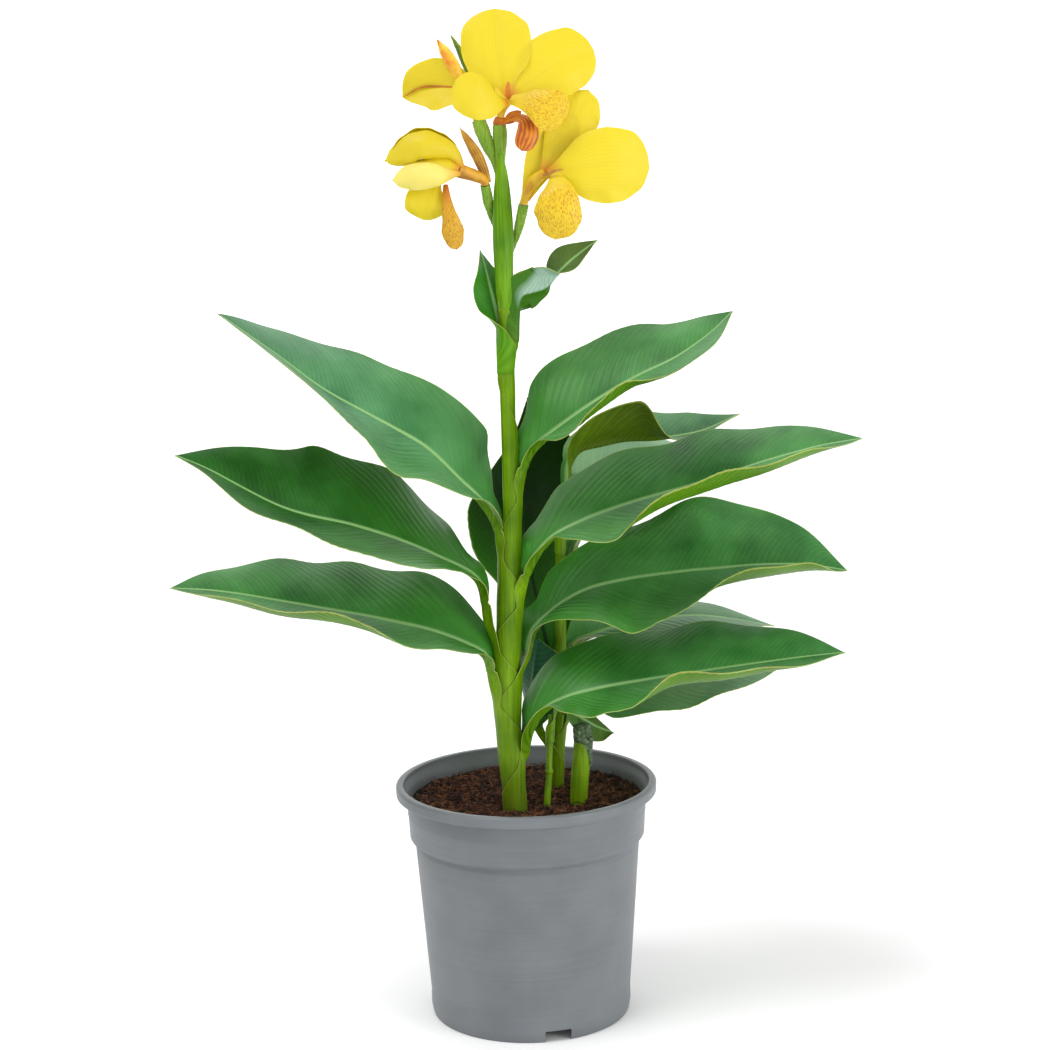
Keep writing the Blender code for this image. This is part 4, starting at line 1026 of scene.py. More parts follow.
@dataclass
class PottingSoil:
    """Peat and coir in the pot, with loose fibres and crumbs on top."""

    pot: NurseryPot
    level: float = 157.0
    roughness: float = 3.2
    gap: float = 0.3
    rings: int = 52
    steps: int = 150
    fibres: int = 3600
    fibre_length: tuple[float, float] = (4.0, 18.0)
    fibre_thickness: tuple[float, float] = (0.16, 0.4)
    crumbs: int = 620
    crumb_size: tuple[float, float] = (0.5, 1.7)
    seed: int = 7

    def surface(self, x: float, y: float) -> float:
        """Height of the soil at a point, in millimetres.

        Args:
            x: To the right.
            y: To the back.
        Returns:
            The height.
        """
        spot = Vector((x, y, 0.0))
        radius = spot.length / self.top_radius
        lumps = noise.noise(spot / 21.0) + 0.5 * noise.noise(spot / 8.0) + 0.3 * noise.noise(spot / 3.2)
        return self.level + self.roughness * lumps * (1.0 - 0.6 * radius**6) + 1.6 * eased(radius, 0.72, 0.98)

    @property
    def top_radius(self) -> float:
        """Radius of the soil at its level."""
        return self.pot.outer(self.level) - self.pot.wall - self.gap

    def body(self) -> Piece:
        """The soil as one turned body with a rough top."""
        foot = self.pot.floor_underside + self.pot.wall + self.gap
        profile = [(self.top_radius * k / self.rings, self.level) for k in range(self.rings + 1)]
        profile += [(self.pot.outer(h) - self.pot.wall - self.gap, h)
                    for h in (self.pot.step_top, self.pot.step_foot, foot)]
        profile.append((0.0, foot))
        bm = bmesh.new()
        verts = [bm.verts.new((radius * MM, 0.0, height * MM)) for radius, height in profile]
        edges = [bm.edges.new(pair) for pair in zip(verts, verts[1:])]
        bmesh.ops.spin(bm, geom=verts + edges, cent=(0, 0, 0), axis=(0, 0, 1), angle=math.tau,
                       steps=self.steps, use_merge=True)
        bmesh.ops.remove_doubles(bm, verts=bm.verts, dist=0.01 * MM)
        for vert in bm.verts:
            if abs(vert.co.z / MM - self.level) < 0.01:
                vert.co.z = self.surface(vert.co.x / MM, vert.co.y / MM) * MM
        bmesh.ops.recalc_face_normals(bm, faces=bm.faces)
        return piece_from("potting_soil", bm, (PEAT,), 80.0)

    def spot(self, dice: random.Random, reach: float = 0.97) -> tuple[float, float]:
        """A chance point on the soil."""
        turn, radius = dice.uniform(0, math.tau), math.sqrt(dice.random()) * self.top_radius * reach
        return radius * math.cos(turn), radius * math.sin(turn)

    def loose_fibres(self) -> Piece:
        """Coir fibres, each a thin curved rod of a few faces, lying on the soil."""
        dice = random.Random(self.seed)
        data = bpy.data.curves.new("coir", "CURVE")
        data.dimensions, data.bevel_depth, data.bevel_resolution = "3D", MM, 0
        for _ in range(self.fibres):
            x, y = self.spot(dice)
            heading, bend = dice.uniform(0, math.tau), dice.uniform(-0.55, 0.55)
            length, thick = dice.uniform(*self.fibre_length), dice.uniform(*self.fibre_thickness)
            lift = dice.uniform(0.3, 4.0) if dice.random() < 0.35 else dice.uniform(-0.2, 1.2)
            line = data.splines.new("POLY")
            line.points.add(4)
            for k, point in enumerate(line.points):
                height = self.surface(x, y) + lift * math.sin(math.pi * (k + 0.4) / 4.8)
                point.co, point.radius = (x * MM, y * MM, height * MM, 1.0), thick
                heading += bend
                nx, ny = x + length / 4 * math.cos(heading), y + length / 4 * math.sin(heading)
                if math.hypot(nx, ny) < self.top_radius * 0.985:
                    x, y = nx, ny
        curve = bpy.data.objects.new("coir", data)
        bpy.context.scene.collection.objects.link(curve)
        bpy.context.view_layer.update()
        mesh = bpy.data.meshes.new_from_object(curve.evaluated_get(bpy.context.evaluated_depsgraph_get()))
        bpy.data.objects.remove(curve, do_unlink=True)
        bm = bmesh.new()
        bm.from_mesh(mesh)
        bpy.data.meshes.remove(mesh)
        return piece_from("coir_fibres", bm, (COIR,), 80.0)

    def loose_crumbs(self) -> Piece:
        """Crumbs of peat and bark, each a knocked-about icosahedron."""
        dice = random.Random(self.seed + 1)
        bm = bmesh.new()
        for _ in range(self.crumbs):
            x, y = self.spot(dice)
            size = dice.uniform(*self.crumb_size)
            made = bmesh.ops.create_icosphere(bm, subdivisions=1, radius=size * MM)["verts"]
            squash = (dice.uniform(0.7, 1.6), dice.uniform(0.6, 1.2), dice.uniform(0.4, 0.8))
            turn = Matrix.Rotation(dice.uniform(0, math.tau), 3, "Z")
            for vert in made:
                vert.co *= dice.uniform(0.75, 1.2)
            bmesh.ops.scale(bm, verts=made, vec=squash)
            bmesh.ops.rotate(bm, verts=made, cent=(0, 0, 0), matrix=turn)
            place = Vector((x, y, self.surface(x, y) + size * 0.15)) * MM
            bmesh.ops.translate(bm, verts=made, vec=place)
        return piece_from("peat_crumbs", bm, (PEAT,), 60.0)

    def build(self) -> None:
        """Makes the soil with what lies on it."""
        settle(self.body(), Slot.SOIL, "soil")
        settle(self.loose_fibres(), Slot.SOIL)
        settle(self.loose_crumbs(), Slot.SOIL)


# Stems

@dataclass
class Stem:
    """A stem as (x, y, z, radius) points from its foot to its top."""

    points: Keys

    def at(self, height: float) -> tuple[Vector, float]:
        """Its axis point and radius at a height."""
        keys = tuple((z, x, y, radius) for x, y, z, radius in self.points)
        x, y, radius = (smooth_value(keys, height, column) for column in (1, 2, 3))
        return Vector((x, y, height)), radius


MAIN_STEM = Stem((
    (-8, -24, 123.3, 8.8), (-8, -24, 150, 8.8), (-10.2, -24, 193, 9.2), (-11.4, -24, 237, 9.9),
    (-11.2, -24, 257, 9.9), (-10.7, -24, 277, 9.8), (-8.7, -24, 309, 9.4), (-7.2, -24, 342, 8.2),
    (-5, -24, 385, 6.6), (-6, -24, 459, 5.4), (-6.2, -24, 483, 4.9), (-6.5, -24, 492, 4.0),
    (-7, -24, 518, 4.0), (-6, -23, 560, 3.4), (-8, -22, 606, 3.2), (-7, -24, 636, 2.8)))
BACK_STEM = Stem(((23, 34, 126, 4.0), (23, 34, 160, 4.4), (25, 36, 206, 4.6), (28, 38, 268, 4.2),
                  (29, 42, 327, 3.6), (31, 45, 365, 3.0)))
THIN_STEM = Stem(((15, -18, 126, 2.2), (15, -18, 160, 2.6), (17, -14, 185, 2.4), (18, -8, 206, 2.2),
                  (19, -2, 222, 1.6)))
STUMP = Stem(((38, -8, 126, 6.0), (38, -8, 160, 6.4), (40, -7, 184, 6.6), (42, -6, 205, 6.4)))
STALKS = (
    ((-8, -22, 604, 1.8), (-11, -22, 618, 2.5), (-15.5, -23, 630, 4.5), (-19.5, -24, 641, 5.2),
     (-21.5, -24, 647, 4.6)),
    ((-7, -21, 545, 1.6), (-2, -18, 556, 1.8), (2, -18, 566, 2.4), (5, -22, 576, 3.4), (8, -26, 589, 3.6)),
    ((-7, -21, 565, 1.6), (-12, -18, 575, 1.8), (-15, -20, 584, 2.4), (-16.5, -24, 593, 3.6),
     (-18, -28, 603, 3.4)),
    ((-7, -24, 616, 2.6), (-7, -24, 626, 4.0), (-7, -24, 636, 5.0), (-7, -24, 643, 4.6)),
)


@dataclass
class FloweringStem:
    """The main stem inside its sheaths, with the flower stalks and the ovaries on them."""

    stem: Stem
    stalks: tuple[Keys, ...]
    core_inset: float = 3.0
    bare_from: float = 492.0
    node_height: float = 518.0

    def axis_points(self) -> list[tuple[float, ...]]:
        """The stem's points, thinner where the leaf sheaths cover it, with a swollen node."""
        made = []
        for x, y, z, radius in self.stem.points:
            made.append((x, y, z, radius if z >= self.bare_from else radius - self.core_inset))
            if z == self.node_height:
                made[-1:] = [(x - 0.1, y, z - 5.0, radius), (x, y, z - 1.5, radius + 0.9),
                             (x, y, z + 2.0, radius - 0.1)]
        return made

    def build(self) -> Piece:
        """Makes the stem, its stalks and its warty ovaries in one piece."""
        parts = [piece_from("stem_core", tube(self.axis_points(), sides=28, step=3.0), (STEM_SKIN,))]
        for k, stalk in enumerate(self.stalks):
            skin = tube(stalk, sides=22, step=0.7, lumps=0.35)
            parts.append(piece_from(f"flower_stalk_{k}", skin, (OVARY_SKIN,)))
        return settle(joined("flowering_stem", parts), Slot.STEM, "stem_main")


@dataclass
class SideShoots:
    """The second shoot, the thin shoot with its node, and the cut stump.

    The node's ring is rows of how far up and how far out it stands from the thin shoot.
    """

    back: Stem
    thin: Stem
    stump: Stem
    node_height: float = 183.0
    node_reach: float = 4.0
    node_ring: Keys = ((-2, -0.1), (0, 0.75), (1.2, 0.1), (3, -0.1))
    head_height: float = 205.0
    head_shift: tuple[float, float, float] = (-0.6, 0.0, 3.2)
    head_rise: float = 7.0
    skin_sides: int = 60
    skin_rows: int = 8
    skin_wall: float = 0.3
    skin_depth: float = 5.0
    flap_depth: float = 16.0

    def back_shoot(self) -> Piece:
        """The second shoot, plain and round."""
        return piece_from("back_shoot", tube(self.back.points, sides=24, step=2.5), (STEM_SKIN,))

    def thin_shoot(self) -> Piece:
        """The thin shoot, with a ring at its node."""
        axis, radius = self.thin.at(self.node_height)
        points = [(*(axis + UPRIGHT * up)[:], radius + out) for up, out in self.node_ring]
        points += [point for point in self.thin.points if abs(point[2] - self.node_height) > self.node_reach]
        points.sort(key=lambda point: point[2])
        return piece_from("thin_shoot", tube(points, sides=18, step=1.0), (STEM_SKIN,))

    def stump_head(self) -> Piece:
        """The stump's crushed head: a lumpy cap, a little wider than the shaft."""
        axis, radius = self.stump.at(self.head_height)
        bm = bmesh.new()
        bmesh.ops.create_uvsphere(bm, u_segments=40, v_segments=22, radius=1.0)
        for vert in bm.verts:
            flat = math.copysign(abs(vert.co.z) ** 0.45, vert.co.z)
            level = max(0.35, math.hypot(vert.co.x, vert.co.y))
            reach = radius * (1.06 - 0.1 * abs(vert.co.z)) / level ** 0.6
            rise = flat * self.head_rise + vert.co.x * 0.9
            spot = Vector((vert.co.x * reach, vert.co.y * reach, rise))
            spot += vert.co * 1.3 * noise.noise(spot * 0.36 + Vector((3, 1, 9)))
            vert.co = (axis + Vector(self.head_shift) + spot) * MM
        return piece_from("stump_head", bm, (CUT_FACE,), 70.0)

    def torn_skin(self) -> Piece:
        """The skin torn round the head, which hangs lower in a flap at one side."""
        axis, radius = self.stump.at(self.head_height)

        def place(column: int, row: int) -> Vector:
            """A point of the skin."""
            turn = math.tau * column / self.skin_sides
            tall = 0.4 + 1.6 * max(0.0, noise.noise(Vector((math.cos(turn), math.sin(turn), 0.5)) * 2.6)) * 2
            beside = max(0.0, math.cos(turn + 0.5)) ** 6
            rise = row / self.skin_rows
            reach = radius + 0.15 + (0.5 + 1.2 * beside) * rise**2
            low = -self.skin_depth - self.flap_depth * beside
            return axis + Vector((math.cos(turn) * reach, math.sin(turn) * reach, low + (tall - low) * rise))

        bm = grid(self.skin_sides, self.skin_rows, place)
        bmesh.ops.solidify(bm, geom=bm.faces[:], thickness=self.skin_wall * MM)
        return piece_from("stump_skin", bm, (CUT_FACE,), 60.0)

    def cut_stump(self) -> Piece:
        """The stump in one piece: its shaft, its head and the torn skin."""
        shaft = piece_from("stump_shaft", tube(self.stump.points, sides=32, step=2.0), (STEM_SKIN,))
        return joined("cut_stump", [shaft, self.stump_head(), self.torn_skin()])

    def build(self) -> None:
        """Makes the three shoots."""
        settle(self.back_shoot(), Slot.STEM, "stem_back")
        settle(self.thin_shoot(), Slot.STEM, "stem_thin")
        settle(self.cut_stump(), Slot.CUT_STEM, "stem_stump")


# Leaves

@dataclass(frozen=True)
class LeafPlan:
    """One leaf: where its rib runs and how its two halves spread along the blade.

    A half is rows of share of the blade's length, half width, angle up from level where it leaves
    the rib, and further turn to its edge. Lead is how far its wings run down the stalk.
    """

    node: str
    heading: tuple[float, float]
    sheath_top: float
    rib: Keys
    back: Keys
    front: Keys
    blade_from: int = 1
    tone: LeafTone = LeafTone.FRONT
    back_ribs: float = 0.16
    front_ribs: float = 0.42
    wave: float = 1.7
    lead: float = 0.0


MAIN_LEAVES = (
    LeafPlan(
        "leaf_left_upper", (-1, 0), 341,
        rib=((-15, -26.5, 364), (-26, -30, 385), (-41, -30, 400), (-63, -30, 423), (-86, -32, 438),
             (-132, -36, 466), (-171, -40, 497), (-203, -44, 521)),
        back=((0, 15, 40, 5), (0.06, 38, 42, -20), (0.15, 53, 51, -20), (0.35, 58, 48, -20),
              (0.6, 54, 41, -20), (0.85, 30, 28, -20), (1, 0, 25, 0)),
        front=((0, 20, 6, 15), (0.04, 30, -4, 10), (0.15, 54, -12, 10), (0.3, 57, -26, 10),
               (0.45, 57, -14, 10), (0.6, 54, -4, 10), (0.85, 30, -2, 10), (1, 0, 0, 0)),
        # Its tone is painted reflection, a bluer and lighter green.
        tone=LeafTone.PAINTED_BLUE_SHEEN,
        wave=0.9, lead=25,
    ),
    LeafPlan(
        "leaf_left_middle", (-1, 0), 276,
        rib=((-24, -28, 296), (-30, -34, 330), (-59, -36, 348), (-83, -40, 360), (-114, -46, 372),
             (-162, -54, 387), (-213, -62, 417), (-233, -66, 427)),
        back=((0, 13, 35, 5), (0.06, 24, 26, -20), (0.15, 46, 33, -20), (0.35, 58, 51, -20),
              (0.6, 54, 61, -20), (0.85, 30, 50, -20), (1, 0, 40, 0)),
        front=((0, 14, 0, 15), (0.05, 9, -20, 10), (0.12, 32, -8, 10), (0.2, 49, -10, 10),
               (0.35, 58, -20, 20), (0.6, 54, -8, 10), (0.85, 30, -10, 10), (1, 0, 0, 0)),
        tone=LeafTone.DEEP,
        lead=18,
    ),
    LeafPlan(
        "leaf_left_lower", (-1, 0), 236,
        rib=((-22, -30, 256), (-26, -34, 275), (-39, -36, 284), (-61, -40, 294), (-85, -44, 302),
             (-147, -50, 317), (-212, -54, 330), (-243, -56, 333)),
        back=((0, 14, 40, 5), (0.06, 31, 45, -20), (0.15, 46, 49, -20), (0.35, 56, 39, -20),
              (0.6, 52, 36, -20), (0.85, 28, 35, -20), (1, 0, 30, 0)),
        front=((0, 13, 0, 15), (0.06, 28, -4, 10), (0.15, 46, -5, 10), (0.28, 55, -21, 30),
               (0.4, 56, -18, 50), (0.6, 52, -24, 60), (0.85, 30, -26, 60), (1, 0, 0, 0)),
        lead=12,
    ),
    LeafPlan(
        "leaf_right_upper", (1, 0), 384,
        rib=((2, -28, 402), (9, -30, 419), (37, -34, 442), (62, -38, 459), (87, -42, 473),
             (111, -46, 485), (134, -50, 501), (148, -53, 515)),
        back=((0, 16, 60, 0), (0.06, 27, 57, -20), (0.15, 42, 64, -20), (0.35, 54, 54, -20),
              (0.6, 50, 46, -20), (0.85, 28, 38, -20), (1, 0, 35, 0)),
        front=((0, 8, 10, 15), (0.06, 20, 4, 10), (0.15, 42, -12, 10), (0.35, 54, -20, 42),
               (0.5, 52, -19, 44), (0.6, 50, -22, 40), (0.85, 28, -20, 10), (1, 0, -20, 0)),
        wave=1.3, lead=12,
    ),
    LeafPlan(
        "leaf_right_second", (1, 0), 308,
        rib=((2, -30, 327), (10, -34, 345), (22, -36, 359), (44, -40, 371), (69, -44, 381),
             (118, -54, 396), (197, -66, 421), (234, -70, 428)),
        back=((0, 15, 55, 5), (0.06, 30, 36, -20), (0.15, 45, 46, -20), (0.35, 56, 42, -20),
              (0.6, 52, 40, -20), (0.85, 28, 35, -20), (1, 0, 35, 0)),
        front=((0, 10, 0, 20), (0.08, 14, -4, 20), (0.14, 38, -10, 10), (0.25, 52, -25, 20),
               (0.35, 57, -27, 42), (0.5, 56, -22, 62), (0.6, 55, -23, 64), (0.85, 30, -28, 66),
               (1, 0, -10, 0)),
        lead=14,
    ),
    LeafPlan(
        "leaf_right_third", (1, 0), 256,
        rib=((2.4, -23.5, 272), (7, -21, 289), (24, -18, 305), (47, -14, 317), (72, -10, 322),
             (136, -2, 327), (201, 2, 328), (235, 4, 322)),
        back=((0, 14, 40, 5), (0.06, 28, 22, -20), (0.15, 46, 30, -20), (0.35, 58, 36, -20),
              (0.6, 60, 58, -20), (0.85, 36, 54, -20), (1, 0, 45, 0)),
        front=((0, 10, 0, 15), (0.06, 24, -2, 10), (0.15, 48, -14, 10), (0.3, 60, -30, 10),
               (0.4, 60, -26, 10), (0.6, 60, -27, 62), (0.85, 34, -26, 76), (1, 0, -5, 0)),
        lead=12,
    ),
    LeafPlan(
        "leaf_right_lower", (1, 0), 192,
        rib=((0.7, -28, 208), (5, -34, 223), (14, -38, 236), (30, -42, 245), (53, -46, 252),
             (99, -54, 261), (179, -62, 273), (223, -66, 278)),
        back=((0, 15, 50, 5), (0.06, 30, 43, -20), (0.15, 44, 46, -20), (0.35, 54, 38, -20),
              (0.6, 50, 39, -20), (0.85, 28, 40, -20), (1, 0, 45, 0)),
        front=((0, 9, 0, 20), (0.1, 14, -4, 20), (0.16, 40, -5, 10), (0.25, 50, -20, 20),
               (0.35, 54, -21, 30), (0.5, 53, -16, 58), (0.6, 51, -18, 60), (0.85, 28, -22, 50),
               (1, 0, -5, 0)),
        lead=22,
    ),
    LeafPlan(
        "leaf_top_left", (-1, 0), 458,
        rib=((-10.6, -25, 474), (-10.8, -24, 493), (-11.8, -21, 511), (-16, -17, 531), (-18.5, -16, 542),
             (-22.6, -18, 558.5)),
        back=((0, 12.5, 0, 150), (0.2, 15, 0, 140), (0.34, 16, 10, 100), (0.44, 16, 30, 40),
              (0.57, 22, 45, 30),
              (0.68, 19, 45, 30), (0.82, 9, 35, 20), (0.92, 5, 30, 10), (1, 0, 20, 0)),
        front=((0, 13, 0, 160), (0.2, 16.5, 0, 155), (0.31, 14, -5, 112), (0.43, 15, -40, 80),
               (0.55, 16, -60, 50), (0.67, 15, -60, 30), (0.84, 10, -55, 28), (1, 0, -50, 20)),
        blade_from=0, tone=LeafTone.TOP, wave=0.5, front_ribs=0.1, back_ribs=0.08,
    ),
    LeafPlan(
        "leaf_top_right", (1, 0), 482,
        rib=((0, -24, 496), (1, -24, 510), (2.5, -25, 521), (6, -26, 527.5), (13, -26, 529.5),
             (21, -25, 532), (28, -22, 539), (40, -18, 550), (58.5, -16, 563.5)),
        back=((0, 7, 0, 120), (0.15, 8, 10, 60), (0.26, 11, -60, 10), (0.36, 12, -75, 5), (0.47, 7, -70, 5),
              (0.56, 4, -20, 5), (0.62, 11, 40, 5), (0.74, 14, 62, -10), (0.9, 7, 56, -10), (1, 0, 45, 0)),
        front=((0, 7, 0, 120), (0.12, 10, 30, 80), (0.22, 13, 60, 20), (0.35, 16, 82, 5), (0.5, 17, 86, 5),
               (0.58, 14, 60, 5), (0.64, 8, 0, 0), (0.76, 8, -45, 0), (0.9, 4, -40, 0), (1, 0, 0, 0)),
        blade_from=0, tone=LeafTone.TWISTED, wave=0.4, front_ribs=0.1, back_ribs=0.08,
    ),
)
BACK_LEAVES = (
    LeafPlan(
        "leaf_back_upper", (1, 0.2), 362,
        rib=((35, 47, 384), (37, 48, 399), (44, 49, 408), (60, 50, 412), (79, 51, 415), (103, 51, 415),
             (134, 50, 420), (163, 50, 432)),
        back=((0, 5, 40, 30), (0.2, 26, 40, -20), (0.45, 34, 44, -20), (0.7, 25, 42, -20),
              (0.9, 10, 30, -10), (1, 0, 20, 0)),
        front=((0, 5, 20, 30), (0.2, 30, 40, 30), (0.4, 38, 42, 20), (0.6, 26, 0, 10), (0.8, 15, -8, 10),
               (1, 0, 0, 0)),
        tone=LeafTone.PAINTED_HAZE, blade_from=1,
    ),
    LeafPlan(
        "leaf_back_pale", (1, 0.6), 318,
        rib=((39, 49, 336), (56, 60, 360), (82, 70, 378), (112, 78, 389), (150, 84, 393)),
        back=((0, 5, 40, 30), (0.1, 26, 40, 0), (0.25, 42, 44, -20), (0.5, 50, 50, -20),
              (0.8, 30, 40, -20), (1, 0, 20, 0)),
        front=((0, 5, 20, 30), (0.2, 34, 0, 10), (0.5, 44, -4, 10), (0.8, 28, 0, 10), (1, 0, 0, 0)),
        tone=LeafTone.PALE, blade_from=0,
    ),
    LeafPlan(
        "leaf_back_middle", (1, 0.5), 250,
        rib=((36, 46, 262), (56, 54, 270), (90, 62, 276), (134, 68, 278), (190, 70, 268)),
        back=((0, 5, 40, 30), (0.2, 34, 30, -20), (0.5, 34, 24, -20), (0.8, 18, 20, -20), (1, 0, 20, 0)),
        front=((0, 5, 20, 30), (0.2, 30, -10, 10), (0.5, 40, -14, 10), (0.8, 24, -10, 10), (1, 0, 0, 0)),
        tone=LeafTone.PAINTED_HAZE, blade_from=0,
    ),
    LeafPlan(
        "leaf_back_lower", (1, 0.1), 202,
        rib=((38, 36, 218), (58, 36, 230), (92, 36, 236), (136, 36, 242), (196, 32, 247)),
        back=((0, 5, 40, 30), (0.2, 24, 30, -20), (0.5, 32, 20, -20), (0.8, 22, 10, -20), (1, 0, 20, 0)),
        front=((0, 5, 20, 30), (0.15, 30, -30, 0), (0.4, 37, -26, 0), (0.65, 31, -24, 0),
               (0.87, 15, -20, 0), (1, 0, 0, 0)),
        tone=LeafTone.PALE, blade_from=0,
    ),
    LeafPlan(
        "leaf_back_shaded", (-0.55, 0.85), 226,
        rib=((20, 52, 250), (14, 58, 280), (6, 62, 325), (2, 64, 385), (8, 62, 446)),
        back=((0, 5, 10, 30), (0.15, 34, 8, 10), (0.5, 45, 5, 10), (0.78, 40, 0, 10),
              (0.93, 24, 0, 10), (1, 0, 0, 0)),
        front=((0, 5, 10, 30), (0.15, 34, 10, 10), (0.32, 44, 8, 10), (0.48, 58, 5, 10), (0.6, 54, 0, 10),
               (0.74, 26, 0, 10), (0.85, 10, 0, 10), (1, 0, 0, 0)),
        # Its near-black tone is painted shade.
        tone=LeafTone.SHADED, blade_from=0,
    ),
    LeafPlan(
        "leaf_back_low_left", (-0.7, -0.7), 182,
        rib=((8, 24, 208), (7, 22, 222), (8, 22, 244), (12, 26, 272)),
        back=((0, 6, 10, 30), (0.15, 17, 15, 25), (0.35, 27, 20, 20), (0.6, 30, 10, 10),
              (0.85, 26, 0, 10), (1, 0, 0, 0)),
        front=((0, 6, 10, 30), (0.15, 17, 15, 25), (0.35, 27, 20, 20), (0.6, 28, 10, 10),
               (0.85, 22, 0, 10), (1, 0, 0, 0)),
        tone=LeafTone.DUSKY, blade_from=0,
    ),
)
YOUNG_LEAF = LeafPlan(
    "leaf_young", (1, 0.1), 219,
    rib=((24, -1, 228), (30, 0, 226), (40, 0, 220), (51, -1, 213), (65, -2, 207)),
    back=((0, 2, 40, 30), (0.3, 7, 25, 10), (0.6, 8, 30, 0), (0.85, 5, 20, 0), (1, 0, 0, 0)),
    front=((0, 2, 40, 30), (0.3, 9, -50, -10), (0.6, 12, -62, -10), (0.85, 9, -60, 0), (1, 0, 0, 0)),
    blade_from=0, tone=LeafTone.OLIVE, wave=0.8,
)


@dataclass
class CannaLeaf:
    """A leaf in one piece: its sheath round the stem, its stalk and its blade."""

    plan: LeafPlan
    stem: Stem
    inside_of: tuple[float, ...]
    foot: float
    half_wrap: float = 180.0
    top_wrap: float = 60.0
    slant: float = 26.0
    sheath_wall: float = 0.55
    flare: float = 1.3
    ply: float = 1.1
    stand_off: float = 0.0
    ridge: float = 8.0
    blade_wall: float = 0.5
    stalk_half: float = 5.0
    wave_length: float = 62.0
    sheath_step: float = 7.0
    slant_rows: int = 12
    stalk_rows: int = 15
    stations: int = 150
    length: float = field(init=False)

    @property
    def heading(self) -> Vector:
        """Which way the leaf grows, level."""
        return Vector((*self.plan.heading, 0.0)).normalized()

    def raised(self, height: float, top: float) -> float:
        """How far a sheath that ends at a height has opened."""
        return eased(height, top - 20.0, top + 8.0)

    def inner_radius(self, height: float) -> float:
        """Radius of the sheath's inner face: inside the older sheaths until they have ended."""
        radius = self.stem.at(height)[1] + self.stand_off
        radius += self.flare * self.raised(height, self.plan.sheath_top)
        radius -= sum(self.ply * (1.0 - self.raised(height, top)) for top in self.inside_of)
        return radius - self.sheath_wall

    def sheath(self) -> list[tuple[float, Station]]:
        """Sections of the sheath, from its foot to its slanted top edge."""
        top, foot = self.plan.sheath_top, self.foot
        straight = max(2, round((top - self.slant - foot) / self.sheath_step))
        heights = [foot + (top - self.slant - foot) * k / straight for k in range(straight)]
        heights += [top - self.slant + self.slant * k / self.slant_rows for k in range(self.slant_rows + 1)]
        made = []
        for height in heights:
            closing = max(0.0, (height - top + self.slant) / self.slant)
            wrap = self.half_wrap + (self.top_wrap - self.half_wrap) * closing
            radius = self.inner_radius(height)
            half = (radius * math.radians(wrap), 0.0, wrap)
            middle = self.stem.at(height)[0] + self.heading * radius
            share = -2.0 + (height - foot) / (top - foot)
            made.append((share, Station(middle, UPRIGHT.cross(self.heading), -self.heading, (half, half))))
        return made

    def halves(self, share: float) -> tuple[Half, Half]:
        """The left and right halves at a share of the blade's length, with its wings on the stalk."""
        lead = self.plan.lead / self.length
        inner = (share - lead) / (1.0 - lead)
        grown = 1.0 if inner >= 0.0 else (share / lead) ** 0.6
        back, front = (tuple(smooth_value(keys, inner, column) for column in (1, 2, 3))
                       for keys in (self.plan.back, self.plan.front))
        back, front = ((self.stalk_half + (half[0] - self.stalk_half) * grown, *half[1:])
                       for half in (back, front))
        return (back, front) if self.heading.x > 0 else (front, back)

    def stalk_station(self, middle: Vector, direction: Vector, mix: float, grip: float) -> Station:
        """A section of the stalk, curved round the stem at its foot and like the blade at its end.

        Args:
            middle: Its place on the rib.
            direction: Which way the rib runs.
            mix: From 0 at the sheath to 1 at the blade.
            grip: Half width at the sheath's top.
        Returns:
            The section.
        """
        away = middle - self.stem.at(middle.z)[0]
        away.z = 0.0
        distance = away.length
        flat = Vector((direction.x, direction.y, 0.0)) * mix + away.normalized() * 0.5
        left = UPRIGHT.cross(flat).normalized()
        halves = []
        for width, angle, turn in self.halves(0.0):
            width = grip + (width - grip) * mix
            halves.append((width, angle * mix**2, math.degrees(width / distance) * (1.0 - mix) + turn * mix))
        return Station(middle, left, direction.cross(left).normalized(), tuple(halves))

    def wall(self, share: float, out: float) -> float:
        """Thickness at a place: thin at the edges, with the midrib standing out below."""
        if share < -1.0:
            return self.sheath_wall
        along = max(share, 0.0)
        height = 2.7 * (1.0 - along) ** 0.8 + 0.15
        height *= eased(share, -1.0, -0.25) * min(1.0, 0.3 + self.length / 250.0)
        width = 3.4 - 2.2 * along
        return self.blade_wall + height * math.exp(-((out / width) ** 2))

    def relief(self, share: float, side: float, out: float, spot: Vector) -> float:
        """Height of the upper face above its plain section: side ribs, midrib groove and dimples.

        Args:
            share: Place along the leaf, below zero on the stalk and sheath.
            side: Share of the half width, below zero to the left.
            out: Distance from the rib.
            spot: The point itself.
        Returns:
            The height in millimetres.
        """
        if share < 0.0:
            return 0.0
        at_front = (side < 0) == (self.heading.x <= 0)
        ribs = self.plan.front_ribs if at_front else self.plan.back_ribs
        ribs *= (1.0 - 0.75 * eased(share, 0.1, 0.85)) * eased(abs(side), 0.02, 0.25)
        ribs *= (1.0 - 0.6 * eased(abs(side), 0.7, 1.0)) * eased(share, 0.0, 0.05)
        along = share * self.length
        turn = math.tau * (along / self.ridge + 0.35 * noise.noise(Vector((along / 22.0, 1.7, 0.0))))
        groove = -0.45 * math.exp(-((out / 2.4) ** 2)) * (1.0 - share)
        dimples = 0.55 * noise.noise(spot / 30.0) * eased(share, 0.0, 0.15)
        return ribs * (math.sin(turn) + 0.25 * math.sin(2 * turn + 0.6)) + groove + dimples

